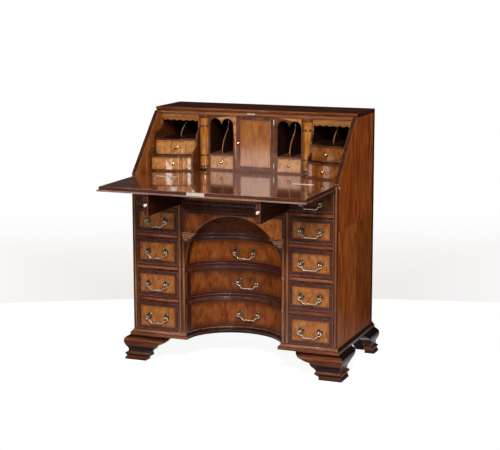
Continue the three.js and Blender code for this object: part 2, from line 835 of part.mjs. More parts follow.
function backFoot(side) {
  const profile = footProfile();
  const top = caseFloor - jointGap;
  const front = caseDepth - footSideLength;
  const wing = alongY([...profile.map(([out, z]) => [caseHalf + out, z]), [caseHalf - footWall, top],
    [caseHalf - footWall, 0]], [front, caseDepth]);
  const scroll = alongX(bracketCutter(footSideLength).map(([y, z]) => [caseDepth - y, z]),
    [caseHalf - footWall - fixingDepth, caseHalf + footProjection + cutOverrun]);
  const inner = caseHalf - footBraceLength;
  const brace = alongY([[inner, top], [caseHalf - footPadLength, 0], [caseHalf, 0], [caseHalf, top]],
    [caseDepth - footBraceThickness, caseDepth]);
  return onSide(side, join(cut(wing, scroll), brace));
}

// Gallery of small drawers and pigeonholes
const gallery = {
  floor: writingHeight + jointGap,
  shelf: writingHeight + pigeonholeFloorHeight,
  ceiling: topUnderside - galleryTopRoom,
  back: insideBack,
  pigeonhole: [doorHalfWidth + doorFrameWidth, doorHalfWidth + doorFrameWidth + pigeonholeWidth],
};
gallery.column = [gallery.pigeonhole[1], gallery.pigeonhole[1] + columnBayWidth + galleryBoard];
gallery.step = [gallery.column[1], innerHalf - jointGap];

// The serpentine front of a stepped drawer, from the case side to the centre, drawn in by an inset
function serpentine(front, x, inset = 0) {
  return serpentineShares.map(([across, back]) => [
    x[1] + (x[0] - x[1]) * across, front + stepSweep * back + inset]);
}

function serpentineBoard(front, x, z) {
  return alongZ([...serpentine(front, x), [x[0], gallery.back], [x[1], gallery.back]], z);
}

// A shaped upright that steps back with the drawers beside it
function steppedUpright(setback, x) {
  const lower = writingHeight + lowerStepHeight;
  const upper = lower + upperStepHeight;
  const ramp = (from, to, base, rise) => stepOgeeShares.map(([back, up]) => [
    from + (to - from) * back, base + rise * up]);
  const outline = [
    [lowerStepFront + setback, gallery.floor],
    ...ramp(lowerStepFront + setback, upperStepFront + setback, lower, upperStepHeight * 0.6),
    ...ramp(upperStepFront + setback, galleryFront, upper, upperStepHeight * 0.8),
    [galleryFront, gallery.ceiling],
    [gallery.back, gallery.ceiling],
    [gallery.back, gallery.floor],
  ];
  return alongX(outline, x);
}

function galleryCase() {
  const half = innerHalf - jointGap;
  const floor = [gallery.floor, gallery.floor + galleryBoard];
  const lower = writingHeight + lowerStepHeight;
  const upper = lower + upperStepHeight;
  const middle = [galleryFront, gallery.back];
  const centre = [
    box([-gallery.column[1], gallery.column[1]], middle, floor),
    box([-half, half], middle, [gallery.ceiling - galleryBoard, gallery.ceiling]),
    box([-half, half], [galleryFront - galleryRailSetback, galleryFront + galleryBoard * 2],
      [gallery.ceiling - galleryBoard, topUnderside - jointGap]),
  ];
  const whole = [gallery.floor, gallery.ceiling];
  const [inner, outer] = gallery.pigeonhole;
  const shelf = [gallery.step[0] - housing, half - housing];
  const wing = [
    box([doorHalfWidth + smallGap, inner], middle, whole),
    box([outer, outer + galleryBoard], middle, whole),
    box([inner - housing, outer + housing], middle, [gallery.shelf - galleryBoard, gallery.shelf]),
    box([outer, gallery.column[1]], [galleryFront + galleryBoard, galleryFront + galleryBoard * 2], whole),
    steppedUpright(stepSweep, [gallery.column[1] - galleryBoard, gallery.column[1]]),
    steppedUpright(-linerReach, [half - galleryBoard, half]),
    serpentineBoard(lowerStepFront - stepShelf, shelf, floor),
    serpentineBoard(lowerStepFront - stepShelf, shelf, [lower - stepShelf, lower]),
    serpentineBoard(upperStepFront - stepShelf, shelf, [upper - stepShelf, upper]),
  ];
  return join(centre, wing, wing.map(mirrored), pigeonholeFittings());
}

function scallopedValance() {
  const x = [gallery.step[0] - housing, gallery.step[1] - housing];
  const bottom = gallery.ceiling - galleryBoard - valanceDrop;
  const pitch = (x[1] - x[0]) / scallopCount;
  const outline = [[x[1], gallery.ceiling], [x[0], gallery.ceiling]];
  for (let step = 0; step <= scallopCount * curveSteps; step += 1) {
    const drop = Math.abs(Math.sin((step / curveSteps) * Math.PI));
    outline.push([x[0] + pitch * (step / curveSteps), bottom + scallopDepth * (1 - drop)]);
  }
  return alongY(outline, [galleryFront, galleryFront + valanceThickness]);
}

function doubleArch() {
  const x = gallery.pigeonhole;
  const radius = (x[1] - x[0]) / 4;
  const springing = gallery.ceiling - galleryBoard - archPlateDrop - radius;
  const outline = [
    [x[1] + housing, gallery.ceiling], [x[0] - housing, gallery.ceiling], [x[0] - housing, springing]];
  for (const centre of [x[0] + radius, x[1] - radius]) {
    for (let step = 0; step <= curveSteps * 2; step += 1) {
      const angle = Math.PI * (1 - step / (curveSteps * 2));
      outline.push([centre + radius * Math.cos(angle), springing + radius * Math.sin(angle)]);
    }
  }
  outline.push([x[1] + housing, springing]);
  return alongY(outline, [galleryFront, galleryFront + valanceThickness]);
}

function divider(centre, floor) {
  const front = galleryFront + valanceThickness;
  const reach = gallery.back - front;
  const ceiling = gallery.ceiling - housing;
  const edge = dividerShares.map(([back, up]) => [front + reach * back, floor + (ceiling - floor) * up]);
  return alongX([...smooth(edge, curveSteps * 2), [gallery.back, ceiling], [gallery.back, floor]],
    [centre - dividerThickness / 2, centre + dividerThickness / 2]);
}

function pigeonholeFittings() {
  const upperShelf = writingHeight + lowerStepHeight + upperStepHeight;
  const fittings = [
    scallopedValance(),
    doubleArch(),
    divider((gallery.pigeonhole[0] + gallery.pigeonhole[1]) / 2, gallery.shelf - housing),
    divider((gallery.step[0] + gallery.step[1] - galleryBoard) / 2, upperShelf - housing),
  ];
  return [...fittings, ...fittings.map(mirrored)];
}

function halfColumn(side) {
  const centre = (gallery.pigeonhole[1] + galleryBoard + gallery.column[1] - galleryBoard) / 2;
  const height = gallery.ceiling - galleryBoard - gallery.floor - galleryBoard - jointGap * 2;
  const collar = (at, out) => [
    [columnNeckRadius, at - columnCollar],
    [columnNeckRadius + out, at - columnCollar / 2],
    [columnNeckRadius + out, at + columnCollar / 2],
    [columnNeckRadius, at + columnCollar],
  ];
  const profile = [
    [0, 0],
    [columnRadius, 0],
    [columnRadius, columnBaseHeight / 2],
    [columnNeckRadius, columnBaseHeight],
    ...collar(columnLowerCollarHeight, columnRadius - columnNeckRadius),
    ...collar(height - columnUpperCollarDrop, columnRadius - columnNeckRadius),
    [columnNeckRadius, height - columnCapitalHeight],
    [columnRadius, height - columnCapitalHeight / 2],
    [columnRadius, height],
    [0, height],
  ];
  const face = galleryFront + galleryBoard - jointGap;
  const whole = turnedUpright(profile, columnSides,
    [centre, face, gallery.floor + galleryBoard + jointGap]);
  const front = box([centre - columnBayWidth, centre + columnBayWidth], [face - columnBayWidth, face],
    [gallery.floor, gallery.ceiling]);
  return onSide(side, whole.intersect(front));
}

function galleryDoor() {
  const bottom = gallery.floor + galleryBoard + smallGap;
  const top = gallery.ceiling - galleryBoard - smallGap;
  const x = [-doorHalfWidth + smallGap, doorHalfWidth - smallGap];
  const front = galleryFront;
  const leaf = box(x, [front, front + doorThickness], [bottom, top]);
  const field = box([x[0] + doorFrameWidth, x[1] - doorFrameWidth],
    [front - cutOverrun, front + doorPanelRecess], [bottom + doorFrameWidth, top - doorFrameWidth]);
  const handle = knob(knobRadius, knobReach, x[0] + doorFrameWidth / 2, front, (bottom + top) / 2);
  return join(cut(leaf, field), handle);
}

function steppedDrawer(side, front, floor, ceiling) {
  const x = [gallery.step[0] + smallGap, gallery.step[1] - galleryBoard - smallGap];
  const z = [floor + smallGap, ceiling - smallGap];
  const back = gallery.back - smallDrawerBackRoom;
  const block = alongZ([...serpentine(front, x), [x[0], back], [x[1], back]], z);
  const wall = smallDrawerWall;
  const inner = serpentine(front, [x[0] + wall, x[1] - wall], smallDrawerFront);
  const cavity = alongZ([...inner, [x[0] + wall, back - wall], [x[1] - wall, back - wall]],
    [z[0] + wall, z[1] + cutOverrun]);
  const middle = serpentineShares.findIndex(([across]) => across > 0.5);
  const [knobX, knobY] = serpentine(front, x)[middle];
  return onSide(side, join(cut(block, cavity), knob(knobRadius, knobReach, knobX, knobY, (z[0] + z[1]) / 2)));
}

function smallDrawer(side) {
  const x = [gallery.pigeonhole[0] + smallGap, gallery.pigeonhole[1] - smallGap];
  const z = [gallery.floor + galleryBoard + smallGap, gallery.shelf - galleryBoard - smallGap];
  const front = box(x, [galleryFront, galleryFront + smallDrawerFront], z);
  const body = openBox(x, [galleryFront, gallery.back - smallDrawerBackRoom], z[0], z[1] - smallDrawerWall,
    smallDrawerWall, smallDrawerWall);
  const centre = (x[0] + x[1]) / 2;
  const handle = knob(knobRadius, knobReach, centre, galleryFront, (z[0] + z[1]) / 2);
  return onSide(side, join(front, body, handle));
}

// Assembly
piece('side_panel_left', sidePanel(-1), finishes.carcass);
piece('side_panel_right', sidePanel(1), finishes.carcass);
piece('top_board', topBoard(), finishes.carcass);
piece('back_panel', box([-innerHalf + jointGap, innerHalf - jointGap], [caseBack, caseDepth],
  [caseFloor, topUnderside - jointGap]), finishes.dark);
piece('writing_bed', writingBed(), finishes.writing);
piece('bottom_board', bottomBoard(), finishes.carcass);
piece('column_frame_left', columnFrame(-1), finishes.carcass);
piece('column_frame_right', columnFrame(1), finishes.carcass);
piece('centre_deck', centreDeck(), finishes.carcass);
piece('arch_panel', archPanel(), finishes.drawerFront);
piece('niche_frame', nicheFrame(), finishes.dark);
piece('base_moulding', baseMoulding(), finishes.dark);
piece('foot_front_left', frontFoot(-1), finishes.dark);
piece('foot_front_right', frontFoot(1), finishes.dark);
piece('foot_back_left', backFoot(-1), finishes.dark);
piece('foot_back_right', backFoot(1), finishes.dark);
piece('gallery_case', galleryCase(), finishes.carcass);

piece('fall_front', fallFront(), finishes.writing);

for (const [side, name] of [[-1, 'left'], [1, 'right']]) {
  piece(`half_column_${name}`, halfColumn(side), finishes.drawerFront);
  piece(`bed_hinge_${name}`, hingeLeaf(side, 1, bedKnuckleShares, true), finishes.brass);
  piece(`fall_hinge_${name}`, hingeLeaf(side, -1, fallKnuckleShares, false), finishes.brass);
  piece(`loper_${name}`, loper(side), finishes.carcass);
  const opening = [columnInner + runningGap, innerHalf - runningGap];
  const handleX = (opening[0] + opening[1]) / 2;
  rows.forEach((row, index) => {
    const guided = row === topRow ? loperGuideThickness + jointGap : 0;
    piece(`drawer_${name}_${index + 1}`, onSide(side, flatDrawer(opening, row, { inset: [guided, 0] })),
      finishes.drawerFront);
    piece(`bail_${name}_${index + 1}`, bail(side * handleX, -postReach, handleHeight(row)), finishes.brass);
  });
  const lower = writingHeight + lowerStepHeight;
  piece(`step_drawer_${name}_lower`, steppedDrawer(side, lowerStepFront, gallery.floor + galleryBoard,
    lower - stepShelf), finishes.drawerFront);
  piece(`step_drawer_${name}_upper`, steppedDrawer(side, upperStepFront, lower,
    lower + upperStepHeight - stepShelf), finishes.drawerFront);
  piece(`small_drawer_${name}`, smallDrawer(side), finishes.drawerFront);
}

for (const index of [0, 1, 2]) {
  piece(`niche_drawer_${index + 1}`, nicheDrawer(index), finishes.drawerFront);
  piece(`niche_bail_${index + 1}`, nicheBail(index), finishes.brass);
}

const centreReach = kneeholeHalf - runningGap;
const centreInset = loperGuideThickness + runningGap;
piece('centre_drawer', flatDrawer([-centreReach, centreReach], topRow,
  { inset: [centreInset, centreInset], posts: false }), finishes.drawerFront);
piece('gallery_door', galleryDoor(), finishes.drawerFront);

// The origin stands on the floor, midway between the edge of the open fall and the back
secretaire.position.set(0, -(fallEdge + caseDepth) / 2, 0);

export default secretaire;
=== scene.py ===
# Fall front secretaire: the looks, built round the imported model. Metres, Z up, X across the front.
import json
import math

import bmesh
import bpy
from mathutils import Matrix, Vector

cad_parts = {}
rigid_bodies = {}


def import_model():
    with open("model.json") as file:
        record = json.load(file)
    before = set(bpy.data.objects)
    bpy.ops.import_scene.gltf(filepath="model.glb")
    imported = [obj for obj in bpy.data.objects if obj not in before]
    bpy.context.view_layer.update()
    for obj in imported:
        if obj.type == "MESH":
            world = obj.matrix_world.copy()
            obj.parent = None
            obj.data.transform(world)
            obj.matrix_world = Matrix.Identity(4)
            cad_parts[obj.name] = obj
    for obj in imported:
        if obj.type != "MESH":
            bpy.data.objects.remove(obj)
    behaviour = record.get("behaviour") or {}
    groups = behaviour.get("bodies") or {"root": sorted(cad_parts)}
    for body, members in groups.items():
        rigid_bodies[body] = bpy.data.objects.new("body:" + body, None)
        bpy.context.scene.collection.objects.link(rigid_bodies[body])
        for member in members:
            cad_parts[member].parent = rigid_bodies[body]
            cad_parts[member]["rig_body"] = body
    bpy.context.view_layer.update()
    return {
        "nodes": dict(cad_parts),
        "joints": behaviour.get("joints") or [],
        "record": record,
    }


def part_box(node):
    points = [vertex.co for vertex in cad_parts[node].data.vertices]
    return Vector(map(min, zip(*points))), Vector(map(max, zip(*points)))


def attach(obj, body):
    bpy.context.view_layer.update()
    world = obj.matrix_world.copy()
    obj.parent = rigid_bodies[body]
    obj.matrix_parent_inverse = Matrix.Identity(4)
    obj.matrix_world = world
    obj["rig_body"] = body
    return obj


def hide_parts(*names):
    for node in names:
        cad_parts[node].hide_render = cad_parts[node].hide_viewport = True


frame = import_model()
nodes = frame["nodes"]

mm = 0.001
bothSides = (("left", -1), ("right", 1))
slotOf = {row["node"]: row.get("material_slot") for row in frame["record"].get("subparts", [])}
# places taken from the frame, so that every piece sits on the wood that carries it
desk = {
    "frontY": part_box("side_panel_right")[0].y,        # face of the case and of the drawers
    "caseHalf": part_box("top_board")[1].x,
    "writingZ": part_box("fall_front")[1].z,
    "hinge": next(Vector(j["pos_m"]) for j in frame["joints"] if j["name"] == "fall_hinge"),
}


def at(x, y, z):
    # millimetres from the middle of the case front at the floor, to metres in the frame
    return Vector((x * mm, desk["frontY"] + y * mm, z * mm))


def spans(nodeName):
    low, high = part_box(nodeName)
    return [(low[i] / mm - (desk["frontY"] / mm if i == 1 else 0),
             high[i] / mm - (desk["frontY"] / mm if i == 1 else 0)) for i in range(3)]


def within(span, margin):
    return span[0] + margin, span[1] - margin


def facing(face, axis, sign):
    return face.normal[axis] * sign > 0.7


def centreOf(face):
    middle = face.calc_center_median()
    return middle.x / mm, (middle.y - desk["frontY"]) / mm, middle.z / mm


def toLinear(hexColour):
    channels = [int(hexColour[i:i + 2], 16) / 255 for i in (1, 3, 5)]
    return tuple(c / 12.92 if c <= 0.04045 else ((c + 0.055) / 1.055) ** 2.4 for c in channels) + (1.0,)


def add(tree, kind, inputs=None, **settings):
    # one node, its settings and its links; an input is named, or numbered where names repeat
    node = tree.nodes.new(kind)
    for key, value in settings.items():
        setattr(node, key, value)
    for key, value in (inputs or {}).items():
        if isinstance(value, bpy.types.NodeSocket):
            tree.links.new(value, node.inputs[key])
        else:
            node.inputs[key].default_value = value
    return node


# Materials

def cleared(owner):
    # the empty node tree of a new material or world
    owner.use_nodes = True
    owner.node_tree.nodes.clear()
    return owner.node_tree


def newMaterial(name):
    material = bpy.data.materials.new(name)
    return material, cleared(material)


grainAxes = {"x": (1, 0, 0), "y": (0, 1, 0), "z": (0, 0, 1), "veneer": (0, 1, 0)}


def grainCoords(tree, grain, across, stretch):
    # Object coordinates for boards, the piece's own UV map for veneers; squeezed along the grain
    if grain == "veneer":
        source = add(tree, "ShaderNodeUVMap", uv_map="grain").outputs["UV"]
    else:
        source = add(tree, "ShaderNodeTexCoord").outputs["Object"]
    scale = [1 / across / (stretch if axis else 1) for axis in grainAxes[grain]]
    return add(tree, "ShaderNodeMapping", {"Vector": source, "Scale": scale}).outputs["Vector"]


def polishedWood(name, tones, grain="z", figure=45, figureStretch=5, fibre=3.2, fibreStretch=26,
                 figureShare=0.62, rough=(0.3, 0.44), coat=0.1, coatRough=0.12, bump=0.12, fade=None,
                 specular=0.2):
    # figure and fibre are widths across the grain in millimetres; real pores are finer than a pixel,
    # so fibres are drawn about ten times as coarse as they are
    material, tree = newMaterial(name)
    cut = add(tree, "ShaderNodeAttribute", attribute_name="cut").outputs["Fac"]
    broad, fine, pores = (add(tree, "ShaderNodeTexNoise", {
        "Vector": grainCoords(tree, grain, width * mm, stretch), "W": cut, "Scale": 1.0, "Detail": detail,
        "Roughness": roughness, "Distortion": distortion}, noise_dimensions="4D").outputs["Fac"]
        for width, stretch, detail, roughness, distortion in (
            (figure, figureStretch, 3.0, 0.55, 0.7),
            (fibre, fibreStretch, 4.0, 0.6, 0.25),
            (fibre * 0.4, fibreStretch * 0.6, 2.0, 0.5, 0.0)))
    figured = add(tree, "ShaderNodeMix", {
        "Factor": 1 - figureShare, "A": broad, "B": fine}, data_type="FLOAT")
    spread = add(tree, "ShaderNodeMapRange", {
        "Value": figured.outputs["Result"], "From Min": 0.34, "From Max": 0.66}).outputs["Result"]
    ramp = add(tree, "ShaderNodeValToRGB", {"Fac": spread})
    stops = ramp.color_ramp.elements
    stops[0].position, stops[0].color = 0.0, toLinear(tones[0])
    stops[1].position, stops[1].color = 1.0, toLinear(tones[2])
    stops.new(0.48).color = toLinear(tones[1])
    masks = [add(tree, "ShaderNodeMapRange", {
        "Value": pores, "From Min": 0.36, "From Max": 0.5, "To Min": 0.3, "To Max": 0.0})]
    if fade:
        # old polish gathers dark towards the edge of each panel; on the niche's drawers the darkening reaches
        # further and deeper, a painted shade as well
        edge = add(tree, "ShaderNodeAttribute", attribute_name="fade").outputs["Fac"]
        cloud = add(tree, "ShaderNodeMath", {0: edge, 1: broad, 2: -0.12}, operation="MULTIPLY_ADD")
        masks.append(add(tree, "ShaderNodeMapRange", {
            "Value": cloud.outputs[0], "From Min": 0.0, "From Max": 0.34, "To Min": fade, "To Max": 0.0}))
    colour = ramp.outputs["Color"]
    for mask in masks:
        colour = add(tree, "ShaderNodeMix", {
            "Factor": mask.outputs["Result"], "A": colour, "B": toLinear(tones[0])},
            data_type="RGBA").outputs[2]
    gloss = add(tree, "ShaderNodeMapRange", {
        "Value": fine, "From Min": 0.3, "From Max": 0.7, "To Min": rough[0], "To Max": rough[1]})
    relief = add(tree, "ShaderNodeBump", {"Strength": bump, "Distance": 0.3 * mm, "Height": pores})
    shader = add(tree, "ShaderNodeBsdfPrincipled", {
        "Base Color": colour, "Roughness": gloss.outputs["Result"], "Normal": relief.outputs["Normal"],
        "Coat Weight": coat, "Coat Roughness": coatRough, "Specular IOR Level": specular})
    add(tree, "ShaderNodeOutputMaterial", {"Surface": shader.outputs[0]})
    return material


def agedMetal(name, bright, dull, rough=(0.22, 0.5), tarnish=4.0):
    # cast brass, once lacquered: browned in the hollows, rubbed bright where hands go
    material, tree = newMaterial(name)
    coords = add(tree, "ShaderNodeTexCoord").outputs["Object"]
    spots = add(tree, "ShaderNodeTexNoise", {
        "Vector": coords, "Scale": 1 / (tarnish * mm), "Detail": 4.0, "Roughness": 0.6}).outputs["Fac"]
    worn = add(tree, "ShaderNodeMapRange", {"Value": spots, "From Min": 0.36, "From Max": 0.62})
    colour = add(tree, "ShaderNodeMix", {
        "Factor": worn.outputs["Result"], "A": toLinear(dull), "B": toLinear(bright)}, data_type="RGBA")
    gloss = add(tree, "ShaderNodeMapRange", {
        "Value": spots, "From Min": 0.3, "From Max": 0.7, "To Min": rough[1], "To Max": rough[0]})
    relief = add(tree, "ShaderNodeBump", {"Strength": 0.12, "Distance": 0.2 * mm, "Height": spots})
    shader = add(tree, "ShaderNodeBsdfPrincipled", {
        "Base Color": colour.outputs[2], "Metallic": 1.0, "Roughness": gloss.outputs["Result"],
        "Normal": relief.outputs["Normal"]})
    add(tree, "ShaderNodeOutputMaterial", {"Surface": shader.outputs[0]})
    return material


# How a surface was polished or has worn, and how curly its veneer is; what is left out is as usual
sheen = {
    "usual": {},
    "side": {"rough": (0.36, 0.48), "coat": 0.0, "specular": 0.03},
    "stained": {"rough": (0.5, 0.6), "coat": 0.0, "specular": 0.06},
    "foot": {"rough": (0.34, 0.44), "coat": 0.05, "specular": 0.12},
    "niche": {"rough": (0.38, 0.5), "coat": 0.03, "specular": 0.1},
    "flat": {"rough": (0.4, 0.5), "coat": 0.0, "specular": 0.08},
    "writing": {"rough": (0.16, 0.24), "coat": 1.0, "coatRough": 0.06, "specular": 0.7},
    "rubbed": {"rough": (0.14, 0.24), "coat": 0.4, "specular": 0.4},
    "handled": {"rough": (0.12, 0.2), "coat": 0.4, "specular": 0.4},
    "waxed": {"rough": (0.5, 0.65), "coat": 0.0, "bump": 0.3},
}
curl = {
    "drawer": {"figureStretch": 1.7, "fibre": 4.5, "fibreStretch": 7, "figureShare": 0.5, "fade": 0.5},
    # the niche's veneer darkens strongly towards its edges: painted shade by the jambs and rails
    "niche": {"figureStretch": 1.8, "fibre": 4.5, "fibreStretch": 7, "figureShare": 0.5, "fade": 0.8,
              "coatRough": 0.2, **sheen["niche"]},
    "spandrel": {"figureStretch": 1.7, "fibre": 4.5, "fibreStretch": 7, "figureShare": 0.72, "fade": 0.6},
    "small": {"figureStretch": 1.8, "fibre": 3, "fibreStretch": 6, "fade": 0.3},
    "door": {"figureStretch": 2.6, "fibre": 4, "fibreStretch": 10, "fade": 0.45},
}
# each wood: its material, its tones from the pores to the lightest stripe, the way of its grain, the
# width of its figure in millimetres, and its surface
woods = {
    # polished mahogany, quarter cut: a straight reddish stripe under a shellac gloss
    "caseUpright": ("mahoganyPolishedUpright", "#541f06 #994a17 #b4601f", "z", 27, sheen["side"]),
    # the paler lower front leaf is also a painted patch of light on the side
    "caseUprightPaleLeafPaintedLight": ("mahoganyPolishedPaleLeafPaintedLight", "#622c0c #a3531c #bc6c2e", "z", 27, sheen["side"]),
    "caseUprightDeep": ("mahoganyPolishedDeep", "#481f08 #864112 #a15820", "z", 27, sheen["side"]),
    "caseInner": ("mahoganyPolishedInner", "#5a2a0c #96521e #b46c30", "z", 30, sheen["usual"]),
    "caseLevel": ("mahoganyPolishedLevel", "#34150a #5f2d15 #7f4526", "x", 30, sheen["usual"]),
    "caseFront": ("mahoganyFrontEdge", "#22100a #422013 #5e3220", "z", 22, sheen["usual"]),
    # rails stand in full light and have paled to tan; edges are rubbed paler still and shine, and their pale
    # tone is also a painted highlight
    "rail": ("mahoganyRails", "#46200f #80442a #aa6a4c", "x", 26, sheen["usual"]),
    "railDark": ("mahoganyRailsShaded", "#2a100a #4a2214 #683820", "x", 26, sheen["usual"]),
    "wornEdge": ("mahoganyRubbedEdgeAndPaintedHighlight", "#6c3c26 #94603f #b88262", "x", 45, sheen["rubbed"]),
    "wornUpright": ("mahoganyRubbedUpright", "#5c2f18 #885030 #a87048", "z", 45,
                    {"rough": (0.16, 0.26), "coat": 0.3, "specular": 0.35}),
    # the imposts are painted paler than the rails: a painted highlight
    "impost": ("mahoganyImpostPaintedHighlight", "#643818 #9c6438 #bc8658", "x", 45, {"rough": (0.2, 0.3), "coat": 0.2}),
    # the top, feet and mouldings were stained darker before polishing: red brown; the feet and the moulding
    # also carry painted shade and painted highlight
    "darkLevel": ("mahoganyDarkStainedLevel", "#2a120a #482214 #5e3420", "x", 26, sheen["stained"]),
    "darkUpright": ("mahoganyDarkStainedUpright", "#1e0c07 #35170c #4e2514", "z", 26, sheen["usual"]),
    "moulding": ("mahoganyMoulding", "#421c0d #743c20 #985a38", "x", 24, sheen["usual"]),
    "mouldingShaded": ("mahoganyMouldingShaded", "#160905 #2c160d #442618", "x", 24,
                       {"rough": (0.3, 0.4), "specular": 0.15}),
    # the moulding's upper slope is painted paler: a painted light
    "mouldingPaintedLight": ("mahoganyMouldingPaintedLight", "#5a3020 #8a5640 #ac7a60", "x", 24, sheen["usual"]),
    "foot": ("mahoganyFoot", "#2e1006 #5a240e #7c3e1e", "x", 24, sheen["foot"]),
    # the feet's hollows and sides are painted nearly black: a painted shade
    "footDark": ("mahoganyFootHollow", "#120806 #1e0f0b #2c1812", "x", 24, sheen["foot"]),
    # the crest, steps and eased edges of the feet are painted pale: a painted highlight
    "footEdge": ("mahoganyFootEdge", "#4a2412 #74442a #986448", "x", 45, sheen["handled"]),
    # thin beads: a dark line with one bright glint along its round
    "cockbead": ("rosewoodCockbead", "#1c0a07 #34160f #4a2418", "x", 16,
                 {"rough": (0.2, 0.3), "coat": 0.15, "specular": 0.2}),
    "railBead": ("mahoganyRailBead", "#4a2418 #744632 #946450", "x", 16,
                 {"rough": (0.16, 0.26), "coat": 0.3, "specular": 0.3}),
    "nicheBead": ("mahoganyNicheBead", "#3a1a12 #5e3226 #80503e", "x", 16,
                  {"rough": (0.14, 0.24), "coat": 0.5, "specular": 0.5}),
    # out of reach of the duster: the niche's woods have hardly any gloss left
    # the cheeks are a darker copy of the niche's veneer: painted shade by the jambs
    "nicheCheek": ("figuredMahoganyCheekPaintedShade", "#4c240c #804618 #9c6028", "z", 30, sheen["niche"]),
    "nicheRail": ("rosewoodNicheRail", "#2a0e08 #4a2018 #622e20", "veneer", 16, sheen["flat"]),
    # the dome is painted dark: painted shade under the arch
    "nicheDome": ("figuredMahoganyDomePaintedShade", "#2c1006 #54260c #743c16", "veneer", 34,
                  {"figureStretch": 2.2, **sheen["flat"]}),
    # burr and curl veneer, cloudy golden brown, darker where old polish gathers at its edge; on the niche's
    # drawers that darkening is also painted shade
    "figured": ("figuredMahoganyVeneer", "#703a1c #a0602e #c07e44", "veneer", 22, curl["drawer"]),
    "figuredShaded": ("figuredMahoganyUnderFall", "#3e2010 #63371b #7e4c28", "veneer", 22,
                      {**curl["drawer"], **sheen["flat"], "specular": 0.1}),
    "niche": ("figuredMahoganyNicheVeneer", "#6e3010 #ae5c20 #c47436", "veneer", 30, curl["niche"]),
    "nicheLow": ("figuredMahoganyNicheShaded", "#502210 #88461c #a05c2c", "veneer", 30, curl["niche"]),
    "spandrelDeep": ("figuredMahoganyShaded", "#56240a #9b4917 #b9662c", "veneer", 22, curl["spandrel"]),
    "spandrelBright": ("figuredMahoganyBright", "#803c12 #c87028 #dc9044", "veneer", 22, curl["spandrel"]),
    "smallFigured": ("figuredSmallVeneer", "#7c4622 #b07642 #cc9864", "veneer", 12,
                     {**curl["small"], "rough": (0.24, 0.34), "coat": 0.28, "coatRough": 0.2,
                      "specular": 0.3}),
    "stepFigured": ("figuredStepVeneer", "#804820 #b4763e #d09a60", "veneer", 12,
                    {**curl["small"], "rough": (0.14, 0.22), "coat": 0.7, "coatRough": 0.06, "specular": 0.4,
                     "bump": 0.05}),
    "stepShaded": ("figuredStepVeneerShaded", "#52260c #844a1c #a06632", "veneer", 12,
                   {**curl["small"], "rough": (0.2, 0.3), "coat": 0.3}),
    "doorField": ("figuredDoorVeneer", "#703810 #985820 #b07234", "veneer", 30,
                  {**curl["door"], "rough": (0.24, 0.34), "coat": 0.52, "coatRough": 0.17, "specular": 0.3}),
    # rosewood cut across its grain for the borders, and pale boxwood lines
    "crossband": ("rosewoodCrossbanding", "#2c1410 #4e281e #683a2a", "veneer", 9,
                  {"figureStretch": 3, "fibre": 2.4, "fibreStretch": 10}),
    "stringing": ("boxwoodStringing", "#5c3414 #845224 #a07034", "veneer", 12, sheen["usual"]),
    # the writing surface is the glossiest part and mirrors the gallery
    "writing": ("mahoganyWritingVeneer", "#48200e #74391c #92552e", "veneer", 30,
                {"figureStretch": 4, "bump": 0.05, **sheen["writing"]}),
    "writingEdge": ("mahoganyWritingLevel", "#48200e #74391c #92552e", "x", 30, sheen["writing"]),
    # the nosing's pale round and eased edges are a painted highlight
    "writingPaintedHighlight": ("mahoganyWritingPaintedHighlight", "#6e4a3c #987264 #b89484", "x", 30,
                     {"rough": (0.2, 0.3), "coat": 0.5}),
    # the lopers' sides are painted nearly black: painted shade under the fall
    "loperSide": ("mahoganyLoper", "#1a0a06 #2e130a #441f10", "y", 24, sheen["usual"]),
    # the gallery: painted dark inside, a painted shade; satinwood where it shows, rosewood round the door
    "doorFrame": ("rosewoodDoorFrame", "#34160e #603420 #804c30", "z", 18, sheen["usual"]),
    "doorFrameEdge": ("rosewoodDoorBead", "#4a2418 #6a3c28 #8c5c40", "z", 45,
                      {"rough": (0.14, 0.22), "coat": 0.4}),
    "gallery": ("mahoganyGallery", "#2e1309 #582a10 #763e1c", "x", 22, sheen["usual"]),
    "galleryTop": ("mahoganyGalleryRail", "#4c2812 #7c4424 #9c6238", "x", 22, sheen["usual"]),
    "galleryInside": ("mahoganyGalleryInside", "#180a06 #28120a #381d10", "z", 26,
                      {"rough": (0.4, 0.55), "coat": 0.0}),
    "valance": ("satinwoodValance", "#5a2c12 #8a5424 #a66e3a", "x", 16, sheen["usual"]),
    "valanceArch": ("satinwoodArch", "#744420 #b07640 #c89458", "x", 16, sheen["usual"]),
    "columnWood": ("satinwoodTurned", "#7c4012 #aa682a #c68a48", "z", 9,
                   {"rough": (0.12, 0.2), "coat": 0.4, "specular": 0.35}),
    "columnCollar": ("rosewoodCollar", "#3a1a0e #6a3a20 #8c5c38", "x", 45, {**sheen["handled"], "coat": 0.5}),
    # plain secondary timber of the drawer boxes and the back, waxed but not polished
    "drawerBox": ("oakDrawerLining", "#7a5a34 #9a7648 #b28e5e", "y", 24, sheen["waxed"]),
    "backBoard": ("pineBackBoards", "#4a2c16 #6a4424 #86592f", "z", 34, sheen["waxed"]),
    "shadowLine": ("openJoint", "#120a06 #1a0f09 #24150d", "z", 45, {"rough": (0.7, 0.8), "coat": 0.0}),
}
finishes = {key: polishedWood(name, tones.split(), grain, figure, **surface)
            for key, (name, tones, grain, figure, surface) in woods.items()}
